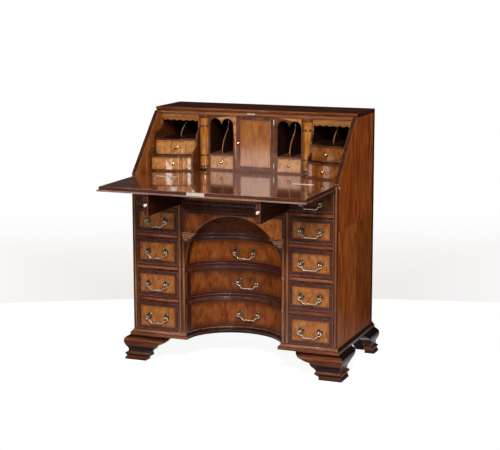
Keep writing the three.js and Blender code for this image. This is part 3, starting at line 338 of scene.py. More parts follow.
# brass: cast and handled, cast and never rubbed, rubbed sheet, turned
finishes["brass"] = agedMetal("brassAgedCast", "#f2e6d6", "#8c7c68", rough=(0.2, 0.36))
finishes["brassDark"] = agedMetal("brassOxidised", "#7c6e5c", "#17110c", rough=(0.24, 0.45), tarnish=2.6)
finishes["brassBright"] = agedMetal("brassRubbedSheet", "#fffaf0", "#f4e8d2", rough=(0.5, 0.62), tarnish=9.0)
finishes["brassKnob"] = agedMetal("brassTurnedKnob", "#f4d8a6", "#b0844e", rough=(0.14, 0.26), tarnish=6.0)
print("materials:", len(finishes))


# Meshes

def finishMesh(bm, name, materials, sharp=38, recalc=True):
    if recalc:
        bmesh.ops.recalc_face_normals(bm, faces=bm.faces)
    for edge in bm.edges:
        edge.smooth = len(edge.link_faces) == 2 and edge.calc_face_angle(4) < math.radians(sharp)
    for face in bm.faces:
        face.smooth = True
    mesh = bpy.data.meshes.new(name)
    bm.to_mesh(mesh)
    bm.free()
    for key in materials:
        mesh.materials.append(finishes[key])
    return markCut(mesh, name)


def markCut(mesh, name):
    # each piece is cut from another part of the plank
    place = sum((i + 1) * ord(c) for i, c in enumerate(name)) % 389 * 0.61
    attribute = mesh.attributes.get("cut") or mesh.attributes.new("cut", "FLOAT", "POINT")
    attribute.data.foreach_set("value", [place] * len(mesh.vertices))
    return mesh


def evaluated(mesh, name, addModifiers):
    # the modifiers are applied here, so no piece keeps one
    holder = bpy.data.objects.new(name + "Holder", mesh)
    bpy.context.scene.collection.objects.link(holder)
    addModifiers(holder)
    result = bpy.data.meshes.new_from_object(holder.evaluated_get(bpy.context.evaluated_depsgraph_get()))
    bpy.data.objects.remove(holder)
    result.name = name
    return result


def piece(name, mesh, body="carcass", slot="carcass_mahogany", *replaced):
    obj = bpy.data.objects.new(name, mesh)
    bpy.context.scene.collection.objects.link(obj)
    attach(obj, body)
    if replaced:
        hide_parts(*replaced)
    return obj


def nearAxis(points, reach):
    # faces that lie wholly within reach of one of the points (x, z), seen from the front
    def test(face):
        return any(all(math.hypot(v.co.x - x * mm, v.co.z - z * mm) < reach * mm for v in face.verts)
                   for x, z in points)
    return test


def score(bm, place, normal):
    bmesh.ops.bisect_plane(bm, geom=bm.verts[:] + bm.edges[:] + bm.faces[:], plane_co=place, plane_no=normal,
                           dist=1e-6)


def softened(nodeName, name, materials, pick=None, edge=0.8, drop=None, shape=None, edgeFinish="wornEdge",
             flatten=True):
    # a merged copy of a CAD node with eased edges: drop takes hardware off, shape scores the boards,
    # pick gives each face its material
    # by default the eased edges are painted paler: worn, and a painted highlight
    bm = bmesh.new()
    bm.from_mesh(nodes[nodeName].data)
    bmesh.ops.remove_doubles(bm, verts=bm.verts, dist=1e-6)
    if drop:
        gone = [face for face in bm.faces if drop(face)]
        bmesh.ops.delete(bm, geom=gone, context="FACES")
        bmesh.ops.holes_fill(bm, edges=[e for e in bm.edges if e.is_boundary], sides=0)
    if flatten:
        bmesh.ops.dissolve_limit(bm, angle_limit=math.radians(0.4), verts=bm.verts, edges=bm.edges)
    bmesh.ops.recalc_face_normals(bm, faces=bm.faces)
    if shape:
        shape(bm)
    for face in bm.faces:
        face.material_index = pick(face) if pick else 0
    mesh = finishMesh(bm, name, [*materials, edgeFinish], recalc=False)

    def ease(holder):
        bevel = holder.modifiers.new("ease", "BEVEL")
        bevel.width, bevel.segments, bevel.limit_method = edge * mm, 2, "ANGLE"
        bevel.angle_limit, bevel.use_clamp_overlap = math.radians(38), True
        bevel.material, bevel.miter_outer = len(materials), "MITER_ARC"
        weighted = holder.modifiers.new("weighted", "WEIGHTED_NORMAL")
        weighted.keep_sharp = False
    mesh = markCut(evaluated(mesh, name, ease), name)
    return piece(name, mesh, nodes[nodeName]["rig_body"], slotOf[nodeName], nodeName)


def bar(name, low, high, ease, finish, body="carcass", slot="carcass_mahogany", segments=2):
    # a straight moulding or a plate, with every edge eased
    bm = bmesh.new()
    bmesh.ops.create_cube(bm, size=1)
    for vert in bm.verts:
        vert.co = at(*[low[i] if vert.co[i] < 0 else high[i] for i in range(3)])
    bmesh.ops.bevel(bm, geom=bm.edges[:], offset=ease * mm, segments=segments, affect="EDGES")
    return piece(name, finishMesh(bm, name, [finish]), body, slot)


# What repeats or follows a path is grown by Geometry Nodes

def newTree(name, inputs):
    tree = bpy.data.node_groups.new(name, "GeometryNodeTree")
    for label, kind in inputs.items():
        tree.interface.new_socket(label, in_out="INPUT", socket_type="NodeSocket" + kind)
    tree.interface.new_socket("Geometry", in_out="OUTPUT", socket_type="NodeSocketGeometry")
    return tree, tree.nodes.new("NodeGroupInput").outputs


def endTree(tree, geometry, finish):
    real = add(tree, "GeometryNodeRealizeInstances", {"Geometry": geometry})
    dressed = add(tree, "GeometryNodeSetMaterial", {"Geometry": real.outputs["Geometry"], "Material": finish})
    add(tree, "NodeGroupOutput", {"Geometry": dressed.outputs["Geometry"]})
    return tree


def rodTree():
    # rods along a path: beads, stringing lines, bails
    tree, given = newTree("rodAlongPath", {"Geometry": "Geometry", "Radius": "Float", "Sides": "Int",
                                           "Finish": "Material"})
    path = add(tree, "GeometryNodeMeshToCurve", {"Mesh": given["Geometry"]})
    thick = add(tree, "GeometryNodeInputNamedAttribute", {"Name": "thick"}, data_type="FLOAT")
    ring = add(tree, "GeometryNodeCurvePrimitiveCircle", {
        "Resolution": given["Sides"], "Radius": given["Radius"]})
    swept = add(tree, "GeometryNodeCurveToMesh", {
        "Curve": path.outputs["Curve"], "Profile Curve": ring.outputs["Curve"],
        "Scale": thick.outputs["Attribute"], "Fill Caps": True})
    smooth = add(tree, "GeometryNodeSetShadeSmooth", {"Geometry": swept.outputs["Mesh"]})
    return endTree(tree, smooth.outputs["Geometry"], given["Finish"])


def fittingTree():
    # copies of one fitting on marked points, each turned as its point says: posts, screws, knobs
    tree, given = newTree("fittingOnPoints", {"Geometry": "Geometry", "Fitting": "Object", "Size": "Float",
                                              "Finish": "Material"})
    fitting = add(tree, "GeometryNodeObjectInfo", {"Object": given["Fitting"]})
    turn = add(tree, "GeometryNodeInputNamedAttribute", {"Name": "turn"}, data_type="FLOAT_VECTOR")
    turned = add(tree, "FunctionNodeEulerToRotation", {"Euler": turn.outputs["Attribute"]})
    placed = add(tree, "GeometryNodeInstanceOnPoints", {
        "Points": given["Geometry"], "Instance": fitting.outputs["Geometry"],
        "Rotation": turned.outputs["Rotation"], "Scale": given["Size"]})
    return endTree(tree, placed.outputs["Instances"], given["Finish"])


def reedTree():
    # a row of upright reeds between two heights
    tree, given = newTree("reedRow", {"Count": "Int", "Start": "Vector", "Step": "Vector", "Length": "Float",
                                      "Radius": "Float", "Finish": "Material"})
    row = add(tree, "GeometryNodeMeshLine", {
        "Count": given["Count"], "Start Location": given["Start"], "Offset": given["Step"]})
    reed = add(tree, "GeometryNodeMeshCylinder", {
        "Vertices": 12, "Radius": given["Radius"], "Depth": given["Length"]})
    placed = add(tree, "GeometryNodeInstanceOnPoints", {
        "Points": row.outputs["Mesh"], "Instance": reed.outputs["Mesh"]})
    return endTree(tree, placed.outputs["Instances"], given["Finish"])


trees = {"rod": rodTree(), "fitting": fittingTree(), "reed": reedTree()}


def grown(treeName, mesh, name, values):
    tree = trees[treeName]
    sockets = {item.name: item.identifier for item in tree.interface.items_tree if item.in_out == "INPUT"}

    def grow(holder):
        modifier = holder.modifiers.new("grow", "NODES")
        modifier.node_group = tree
        for label, value in values.items():
            modifier[sockets[label]] = value
    return markCut(evaluated(mesh, name, grow), name)


def pathMesh(name, paths):
    # paths: lists of points, or of (point, thickness share); one whose last point is its first is closed
    mesh = bpy.data.meshes.new(name)
    points, edges, thick = [], [], []
    for path in paths:
        path = [(p, 1.0) if len(p) == 3 else p for p in path]
        closed = (Vector(path[0][0]) - Vector(path[-1][0])).length < 1e-7
        start, kept = len(points), path[:-1] if closed else path
        points += [p for p, t in kept]
        thick += [t for p, t in kept]
        edges += [(start + i, start + i + 1) for i in range(len(kept) - 1)]
        if closed:
            edges.append((start + len(kept) - 1, start))
    mesh.from_pydata(points, edges, [])
    mesh.attributes.new("thick", "FLOAT", "POINT").data.foreach_set("value", thick)
    return mesh


def rods(name, paths, radius, finish, body="carcass", slot="carcass_mahogany", sides=10, *replaced):
    mesh = grown("rod", pathMesh(name + "Path", paths), name,
                 {"Radius": radius * mm, "Sides": sides, "Finish": finishes[finish]})
    return piece(name, mesh, body, slot, *replaced)


def turnedMesh(name, profile, sides, finish, ripple=None):
    # a turned shape standing out along -Y from its foot at the origin: (radius, reach) in millimetres,
    # with a third value where ripple(angle) scales a petalled ring
    bm = bmesh.new()
    rings = []
    for radius, reach, *flag in profile:
        radius, reach = radius * mm, reach * mm
        if radius < 1e-7:
            rings.append([bm.verts.new((0, -reach, 0))])
            continue
        ring = []
        for i in range(sides):
            angle = 2 * math.pi * i / sides
            wide = radius * (ripple(angle) if ripple and flag else 1.0)
            ring.append(bm.verts.new((wide * math.cos(angle), -reach, wide * math.sin(angle))))
        rings.append(ring)
    for low, high in zip(rings, rings[1:]):
        for i in range(sides):
            a, b = low[i % len(low)], low[(i + 1) % len(low)]
            c, d = high[(i + 1) % len(high)], high[i % len(high)]
            corners = list(dict.fromkeys([a, b, c, d]))
            if len(corners) > 2:
                bm.faces.new(corners)
    return finishMesh(bm, name, [finish], sharp=50)


def fitting(name, mesh, points, finish, body, slot="antique_brass", turns=None, size=1.0):
    pattern = bpy.data.objects.new(name + "Pattern", mesh)
    bpy.context.scene.collection.objects.link(pattern)
    marks = bpy.data.meshes.new(name + "Points")
    marks.from_pydata(points, [], [])
    turn = marks.attributes.new("turn", "FLOAT_VECTOR", "POINT")
    turn.data.foreach_set("vector", [value for t in turns or [(0, 0, 0)] * len(points) for value in t])
    result = grown("fitting", marks, name, {"Fitting": pattern, "Size": size, "Finish": finishes[finish]})
    bpy.data.objects.remove(pattern)
    return piece(name, result, body, slot)


# Veneers: a thin sheet laid on a surface, with a crossbanded border mitred at its corners

def cutLines(low, high, veneer, count, extra=()):
    band, string = veneer["band"], veneer["string"]
    start, end = low + band + string, high - band - string
    field = sorted({round(start + (end - start) * i / count, 4) for i in range(count + 1)} | set(extra))
    return ([low] if band else []) + ([low + band] if string else []) + field + \
        ([high - band] if string else []) + ([high] if band else [])


def veneerSheet(name, surface, across, upward, veneer, body="carcass", slot="drawer_veneer", skip=None,
                extra=((), ())):
    # surface(u, v, out) gives the point that stands out from the wood by out; all in millimetres
    us = cutLines(*across, veneer, veneer["steps"][0], extra[0])
    vs = cutLines(*upward, veneer, veneer["steps"][1], extra[1])
    bm = bmesh.new()
    grain = bm.loops.layers.uv.new("grain")
    fade = bm.verts.layers.float.new("fade")
    top, under, place = {}, {}, {}
    for i, u in enumerate(us):
        for j, v in enumerate(vs):
            inside = min(u - us[0], us[-1] - u, v - vs[0], vs[-1] - v) - veneer["band"]
            for store, out in ((top, veneer["rise"]), (under, -veneer["sink"])):
                vert = bm.verts.new(surface(u, v, out))
                vert[fade] = min(1.0, max(0.0, inside / veneer.get("fadeReach", 16)))
                store[i, j] = vert
                place[vert] = (u * mm, v * mm)

    def lay(corners, kind, turned):
        face = bm.faces.new(corners)
        face.material_index = kind
        for loop in face.loops:
            u, v = place[loop.vert]
            loop[grain].uv = (v, u) if turned else (u, v)

    lastU, lastV, level = len(us) - 2, len(vs) - 2, veneer.get("level", False)
    for i in range(lastU + 1):
        for j in range(lastV + 1):
            if skip and skip((us[i] + us[i + 1]) / 2, (vs[j] + vs[j + 1]) / 2):
                continue
            quad = [top[i, j], top[i + 1, j], top[i + 1, j + 1], top[i, j + 1]]
            onEnd, onRow = i in (0, lastU), j in (0, lastV)
            if veneer["band"] and onEnd and onRow:
                corner = {(0, 0): 0, (1, 0): 1, (1, 1): 2, (0, 1): 3}[int(i > 0), int(j > 0)]
                a, b, c, d = quad if corner in (0, 2) else quad[1:] + quad[:1]
                lay([a, b, c], 1, corner in (1, 2))
                lay([a, c, d], 1, corner in (0, 3))
            elif veneer["band"] and (onEnd or onRow):
                lay(quad, 1, onEnd)
            elif veneer["string"] and (i in (1, lastU - 1) or j in (1, lastV - 1)):
                lay(quad, 2, i in (1, lastU - 1))
            else:
                lay(quad, 0, level)
            lay([under[i, j + 1], under[i + 1, j + 1], under[i + 1, j], under[i, j]], 0, level)
    below = {top[key]: under[key] for key in top}
    for edge in [e for e in bm.edges if e.is_boundary and e.verts[0] in below and e.verts[1] in below]:
        loop = edge.link_loops[0]
        a, b = loop.vert, loop.link_loop_next.vert
        lay([b, a, below[a], below[b]], edge.link_faces[0].material_index, level)
    bmesh.ops.delete(bm, geom=[v for v in bm.verts if not v.link_faces], context="VERTS")
    return piece(name, finishMesh(bm, name, veneer["finishes"], sharp=50), body, slot)


def upright(y=0):
    # the plane of a front that stands y behind the drawers' faces
    return lambda u, v, out: at(u, y - out, v)


# Rows of the drawers, from the lowest up, and the niche that follows the arch
rowGap = 0.5
rows = [(spans(f"drawer_right_{i}")[2][0] - rowGap, spans(f"drawer_right_{i}")[2][1] + rowGap)
        for i in range(1, 6)]
niche = {"radius": 218.5, "depth": 197, "margin": 4, "bed": rows[0][0], "crown": rows[3][1] - 12}
niche["springing"] = niche["crown"] - niche["radius"]


def nicheAt(z):
    above = max(0, z - niche["springing"])
    climb = min(1, max(0, (z - niche["bed"]) / (niche["crown"] - niche["bed"])))
    return (math.sqrt(max(0, niche["radius"] ** 2 - above ** 2)),
            niche["depth"] * math.sqrt(max(0, 1 - climb ** 2)))


def nicheBowl(angle, z, out):
    # angle runs from the left jamb to the right one; out is towards the sitter
    half, depth = nicheAt(z)
    return at(-(half - out) * math.cos(angle), (depth - out) * math.sin(angle), z)


def bowlFace(u, v, out):
    return nicheBowl(u / niche["radius"], v, out)


def nicheFront(index):
    # a drawer front is bent between its foot and its head, in three leaves where the arch closes in
    low, high = rows[index]
    leaves = 3 if low < niche["springing"] < high else 1
    middle = nicheAt((low + high) / 2)[0]
    arc = middle * math.asin(1 - niche["margin"] / middle)

    def surface(u, v, out):
        place = min(max((v - low) / (high - low), 0), 0.9999) * leaves
        foot, head = (nicheAt(low + (high - low) * k / leaves) for k in (int(place), int(place) + 1))
        half, depth = (a + (b - a) * (place - int(place)) for a, b in zip(foot, head))
        angle = math.asin(1 - niche["margin"] / half) * u / arc
        inward = Vector((-depth * math.sin(angle), -half * math.cos(angle), 0)).normalized()
        return at(half * math.sin(angle) + inward.x * out, depth * math.cos(angle) + inward.y * out, v)
    return surface, arc


def serpentine(share):
    # from the case side to the middle of the desk: how far the front has swept back
    knots = [(0, 0), (0.1, 0.02), (0.25, 0.2), (0.4, 0.3), (0.55, 0.34), (0.68, 0.5), (0.82, 0.92), (1, 1)]
    i = max(k for k in range(len(knots) - 1) if knots[k][0] <= max(0, min(share, 0.9999)))
    before, start, end, after = (knots[max(0, min(k, len(knots) - 1))] for k in (i - 1, i, i + 1, i + 2))
    span = end[0] - start[0]
    t = (share - start[0]) / span
    slopeA = (end[1] - before[1]) / (end[0] - before[0]) * span if i else 0
    slopeB = (after[1] - start[1]) / (after[0] - start[0]) * span if i < len(knots) - 2 else 0
    return ((2 * t ** 3 - 3 * t ** 2 + 1) * start[1] + (t ** 3 - 2 * t ** 2 + t) * slopeA +
            (-2 * t ** 3 + 3 * t ** 2) * end[1] + (t ** 3 - t ** 2) * slopeB)


# Camera, floor and light

cameraPlan = {"place": (2.15828, -5.30387, 1.65399), "yaw": 21.683, "pitch": -10.404, "roll": -0.080,
              "lens": 99.91}
# the wall is told by the direction of a ray: how far it turns aside from the view, and its upward part
studio = {"floorNear": 4.25, "floorFar": 6.25, "floorSpread": 0.145, "floorShade": "#9c9a9a",
          "floorGlow": 0.9, "wallShade": "#efebe9", "fadeFrom": -0.2278, "fadeTo": -0.163, "seam": 0.004,
          "whiteEdge": (0.1, 0.19, 0.65), "right": (0.929, 0.369, 0), "ahead": (-0.369, 0.929, 0),
          "world": 0.32, "room": 0.018, "mirrorWide": (0.24, 0.42), "mirrorTall": (-0.03, 0.08),
          "mirrorTop": 0.015}
# where each stands, what it points at, its size and its power
softboxes = {
    "highSoftbox": ((1.25, -2.85, 2.7), (0, 0, 0.6), (0.9, 0.9), 112),
    "leftSoftbox": ((-1.42, -3.46, 1.5), (0, 0.2, 0.85), (0.9, 0.55), 22),
    "rightSoftbox": ((2.3, -2.75, 1.5), (-0.3, 0.1, 0.85), (0.5, 1.0), 14),
}


def aim(plan):
    yaw, pitch, roll = (math.radians(plan[k]) for k in ("yaw", "pitch", "roll"))
    forward = Vector((-math.sin(yaw) * math.cos(pitch), math.cos(yaw) * math.cos(pitch), math.sin(pitch)))
    right = forward.cross(Vector((0, 0, 1))).normalized()
    up = right.cross(forward)
    tilted = right * math.cos(roll) + up * math.sin(roll)
    lifted = up * math.cos(roll) - right * math.sin(roll)
    return Matrix((tilted, lifted, -forward)).transposed().to_4x4()


def placeOnStage(name, data, matrix=None):
    obj = bpy.data.objects.new(name, data)
    if matrix:
        obj.matrix_world = matrix
    bpy.context.scene.collection.objects.link(obj)
    return obj


def makeCamera():
    camera = bpy.data.cameras.new("camera")
    camera.sensor_width, camera.lens, camera.sensor_fit = 36, cameraPlan["lens"], "HORIZONTAL"
    bpy.context.scene.camera = placeOnStage(
        "camera", camera, Matrix.Translation(cameraPlan["place"]) @ aim(cameraPlan))


def makeFloor():
    # a white sheet, only as large as the camera sees, so the wood mirrors the darker room beyond it
    yaw = math.radians(cameraPlan["yaw"])
    ahead, right = Vector((-math.sin(yaw), math.cos(yaw), 0)), Vector((math.cos(yaw), math.sin(yaw), 0))
    stand = Vector((cameraPlan["place"][0], cameraPlan["place"][1], 0))
    near, far, spread = studio["floorNear"], studio["floorFar"], studio["floorSpread"]
    corners = [stand + ahead * d + right * d * spread * s
               for d, s in ((near, -1), (near, 1), (far, 1), (far, -1))]
    mesh = bpy.data.meshes.new("studioFloor")
    mesh.from_pydata(corners, [], [(0, 1, 2, 3)])
    material, tree = newMaterial("whiteSheetFloor")
    seen = add(tree, "ShaderNodeLightPath").outputs
    polish = add(tree, "ShaderNodeMath", {0: seen["Is Camera Ray"], 1: seen["Is Glossy Ray"]},
                 operation="MAXIMUM")
    clear = add(tree, "ShaderNodeMath", {0: polish.outputs[0], 1: seen["Is Transmission Ray"]},
                operation="MAXIMUM")
    glow = add(tree, "ShaderNodeMath", {0: clear.outputs[0], 1: studio["floorGlow"]}, operation="MULTIPLY")
    shader = add(tree, "ShaderNodeBsdfPrincipled", {
        "Base Color": toLinear(studio["floorShade"]), "Roughness": 0.3, "Specular IOR Level": 0.3,
        "Emission Color": (1, 1, 1, 1), "Emission Strength": glow.outputs[0]})
    add(tree, "ShaderNodeOutputMaterial", {"Surface": shader.outputs[0]})
    mesh.materials.append(material)
    placeOnStage("studioFloor", mesh)


def makeWorld():
    # the wall is white high up and falls to a pale grey where it meets the floor; polish mirrors it
    # where it stands, and a dim room elsewhere
    world = bpy.context.scene.world = bpy.data.worlds.new("studio")
    tree = cleared(world)
    direction = add(tree, "ShaderNodeTexCoord").outputs["Generated"]
    height = add(tree, "ShaderNodeSeparateXYZ", {"Vector": direction}).outputs["Z"]
    sideways, forwards = (add(tree, "ShaderNodeVectorMath", {0: direction, 1: studio[way]},
                              operation="DOT_PRODUCT") for way in ("right", "ahead"))
    offside = add(tree, "ShaderNodeMath", {0: sideways.outputs["Value"]}, operation="ABSOLUTE").outputs[0]
    lift = add(tree, "ShaderNodeMapRange", {
        "Value": height, "From Min": studio["fadeFrom"], "From Max": studio["fadeTo"]},
        interpolation_type="SMOOTHSTEP")
    start, end, most = studio["whiteEdge"]
    edge = add(tree, "ShaderNodeMapRange", {
        "Value": offside, "From Min": start, "From Max": end, "To Max": most})
    under = add(tree, "ShaderNodeMath", {0: height, 1: studio["fadeFrom"] - studio["seam"]},
                operation="LESS_THAN")
    pale = add(tree, "ShaderNodeMath", {0: lift.outputs["Result"], 1: edge.outputs["Result"]},
               operation="MAXIMUM")
    white = add(tree, "ShaderNodeMath", {0: pale.outputs[0], 1: under.outputs[0]}, operation="MAXIMUM")
    wall = add(tree, "ShaderNodeMix", {
        "Factor": white.outputs[0], "A": toLinear(studio["wallShade"]), "B": (1, 1, 1, 1)}, data_type="RGBA")
    wide, tall = (add(tree, "ShaderNodeMapRange", {
        "Value": value, "From Min": reach[0], "From Max": reach[1], "To Min": 1.0, "To Max": rest})
        for value, reach, rest in ((offside, studio["mirrorWide"], 0.0),
                                   (height, studio["mirrorTall"], studio["mirrorTop"])))
    before = add(tree, "ShaderNodeMath", {0: forwards.outputs["Value"], 1: 0.0}, operation="GREATER_THAN")
    standing = add(tree, "ShaderNodeMath", {0: wide.outputs["Result"], 1: tall.outputs["Result"]},
                   operation="MULTIPLY")
    backdrop = add(tree, "ShaderNodeMath", {0: standing.outputs[0], 1: before.outputs[0]},
                   operation="MULTIPLY")
    mirrored = add(tree, "ShaderNodeMapRange", {
        "Value": backdrop.outputs[0], "To Min": studio["room"], "To Max": 1.0})
    seen = add(tree, "ShaderNodeLightPath").outputs
    polish = add(tree, "ShaderNodeMath", {0: seen["Is Glossy Ray"], 1: seen["Is Transmission Ray"]},
                 operation="MAXIMUM")
    inPolish = add(tree, "ShaderNodeMix", {
        "Factor": polish.outputs[0], "A": studio["world"], "B": mirrored.outputs["Result"]},
        data_type="FLOAT")
    strength = add(tree, "ShaderNodeMix", {
        "Factor": seen["Is Camera Ray"], "A": inPolish.outputs["Result"], "B": 1.0}, data_type="FLOAT")
    background = add(tree, "ShaderNodeBackground", {
        "Color": wall.outputs[2], "Strength": strength.outputs["Result"]})
    add(tree, "ShaderNodeOutputWorld", {"Surface": background.outputs[0]})


def makeSoftbox(name, place, target, size, power):
    light = bpy.data.lights.new(name, "AREA")
    light.shape, light.size, light.size_y, light.energy = "RECTANGLE", size[0], size[1], power
    turn = (Vector(target) - Vector(place)).to_track_quat("-Z", "Y").to_matrix().to_4x4()
    placeOnStage(name, light, Matrix.Translation(place) @ turn)


makeCamera()
makeFloor()
makeWorld()
for name, settings in softboxes.items():
    makeSoftbox(name, *settings)
bpy.context.scene.view_settings.view_transform = "Standard"
print("camera, floor and light")


# Case: sides, top, back, rails

case = {"edge": 0.9, "backPost": 472, "sideJoint": 615, "leafLine": 255, "leafCuts": (3.7, 9.0, 14.8),
        "stud": (460, 13, 792), "studClear": 7, "grooves": (-352, -176, 0, 176, 352), "groove": (0.9, 0.2, 2),
        "boardCut": 2.9, "sideInner": 441, "columnOuter": 250, "columnInner": 230}
sideInner, columnOuter, columnInner = (case[k] for k in ("sideInner", "columnOuter", "columnInner"))


def scoreSide(bm):
    # the side is veneered in leaves, joined above the arch, with a darker post at its back; the paler lower
    # front leaf is partly a painted patch of light
    for y in (case["leafLine"], case["backPost"]):
        score(bm, at(0, y, 0), (0, 1, 0))
    score(bm, at(0, 0, case["sideJoint"]), (0, 0, 1))


def scoreBack(bm):
    for x in case["grooves"]:
        score(bm, at(x, 0, 0), (1, 0, 0))


def leafCuts(mesh, leafOf):
    # every leaf of veneer has its own place in the figure, written on the faces
    mesh.attributes.remove(mesh.attributes.get("cut"))
    cuts = mesh.attributes.new("cut", "FLOAT", "FACE")
    cuts.data.foreach_set("value", [leafOf(p) for p in mesh.polygons])


def sideLeaf(polygon):
    front, back, above = case["leafCuts"]
    if polygon.center.z / mm > case["sideJoint"]:
        return above
    return front if (polygon.center.y - desk["frontY"]) / mm < case["leafLine"] else back


def hasStud(face):
    # the studs of the slope are made again as turned pieces
    outside = desk["caseHalf"]
    studX, studY, studZ = case["stud"]
    return all(abs(v.co.x) > outside + 0.02 * mm for v in face.verts) or all(
        math.hypot((v.co.y - desk["frontY"]) / mm - studY, v.co.z / mm - studZ) < case["studClear"] and
        abs(v.co.x) > outside - 0.1 * mm for v in face.verts)


for side, sign in bothSides:
    def sideMaterial(face):
        x, y, z = centreOf(face)
        if facing(face, 0, sign):
            if y > case["backPost"]:
                return 2
            return 0 if z > case["sideJoint"] else 1 if y < case["leafLine"] else 4
        return 3 if facing(face, 0, -sign) else 5

    board = softened(f"side_panel_{side}", f"side_{side}",
                     ["caseUpright", "caseUprightPaleLeafPaintedLight", "darkUpright", "caseInner", "caseUprightDeep",
                      "caseFront"],
                     sideMaterial, edge=case["edge"], shape=scoreSide, drop=hasStud)
    leafCuts(board.data, sideLeaf)

softened("top_board", "topBoard", ["darkLevel", "galleryTop"], lambda f: 1 if f.normal.y < -0.4 else 0,
         edge=case["edge"], edgeFinish="caseLevel")
softened("bottom_board", "bottomBoard", ["caseLevel", "drawerBox"], lambda f: 1 if facing(f, 2, -1) else 0)
backBoards = softened("back_panel", "backBoards", ["backBoard"], shape=scoreBack)
leafCuts(backBoards.data, lambda p: case["boardCut"] * sum(p.center.x / mm > x for x in case["grooves"]))
back, (grooveRadius, grooveSunk, grooveEnds) = spans("back_panel"), case["groove"]
rods("backGrooves", [[at(x, back[1][1] - grooveSunk, z) for z in within(back[2], grooveEnds)]
                     for x in case["grooves"]],
     grooveRadius, "shadowLine", "carcass", "dark_mahogany", sides=6)


def frameMaterial(face):
    return 0 if facing(face, 1, -1) and centreOf(face)[1] < 1 else 1


for node, name in (("column_frame_left", "columnFrame_left"), ("column_frame_right", "columnFrame_right"),
                   ("centre_deck", "centreDeck")):
    softened(node, name, ["caseFront", "drawerBox"], frameMaterial)
softened("writing_bed", "writingBed", ["darkLevel", "railDark", "drawerBox"],
         lambda f: 0 if facing(f, 2, 1) else 1 if centreOf(f)[1] < 14 else 2)

# Beads along the rails and down the stiles, cut with a scratch stock
railBand = {"half": 5.6, "proud": 1.4, "ease": 1.1, "bead": 1.4, "fromEdge": 2.2, "underBed": 3,
            "ends": (0.2, 0.7)}


def railStrip(name, x, z, finish):
    proud, half = railBand["proud"], railBand["half"]
    bar(name, (x[0], -proud, z - half), (x[1], 1, z + half), railBand["ease"], finish, segments=3)


railLines = []
for index, (lower, upper) in enumerate(zip(rows, rows[1:])):
    for side, sign in bothSides:
        ends = sorted((sign * (columnOuter + railBand["ends"][0]), sign * (sideInner - railBand["ends"][1])))
        railStrip(f"railBand_{side}_{index + 1}", ends, (lower[1] + upper[0]) / 2, "rail")
        railLines.append([at(x, 0, upper[0] - railBand["fromEdge"]) for x in ends])
railStrip("railBand_middle", (-columnInner + 1, columnInner - 1), (rows[3][1] + rows[4][0]) / 2, "railDark")
for ends in ((-sideInner + 1, -columnOuter), (columnOuter, sideInner - 1), (-columnInner, columnInner)):
    railLines.append([at(x, 0, rows[4][1] + railBand["underBed"]) for x in ends])
rods("railBeads", railLines, railBand["bead"], "railBead")

# a pale reed on each stile, jamb and case side, with dark wood between them: place, radius, how far it
# stands out, foot and head
reeding = {"stile": (242.2, 5.8, 2.2, rows[0][0] + 1, spans("loper_left")[2][0] - 2),
           "jamb": (224, 4.6, 2.0, rows[0][0] + 1, rows[2][1] - 1),
           "side": (450.6, 4.6, 1.9, 135, 800)}
cornerLine = {"x": 459.3, "y": 0.7, "z": (134, 792), "radius": 1.3}
for side, sign in bothSides:
    for label, (x, radius, proud, low, high) in reeding.items():
        name = f"{label}Reed_{side}_0"
        piece(name, grown("reed", bpy.data.meshes.new("reedSeed"), name, {
            "Count": 1, "Start": at(sign * x, radius - proud, (low + high) / 2), "Step": (0, 0, 0),
            "Length": (high - low) * mm, "Radius": radius * mm, "Finish": finishes["wornUpright"]}))
    rods(f"cornerLine_{side}", [[at(sign * cornerLine["x"], cornerLine["y"], z) for z in cornerLine["z"]]],
         cornerLine["radius"], "cockbead", "carcass", "dark_mahogany", sides=8)
print("case")


# Kneehole: spandrels, imposts, niche rails and dome

archVeneer = {"band": 9, "string": 1.4, "rise": 0.35, "thick": 0.6, "steps": (26, 8), "foot": 37,
              "corner": 0.72, "margin": 0.8, "fadeReach": 16, "fadeTop": 5, "fadeMost": 14}
# the imposts: three steps and a capping bead, each with a pale edge, a painted highlight; height over the
# third row, depth, ends
impostBeads = {"steps": ((8.6, -2.7, 201.5, 221.4), (18.8, -5.0, 184.5, 224.2), (29.4, -7.2, 167.5, 227),
                         (35.4, -1.2, 163, 229)), "radius": 2.5, "head": 38}
archBead = {"rise": 131.4, "radius": 1.3, "out": 1.008, "y": -0.4, "steps": 40}


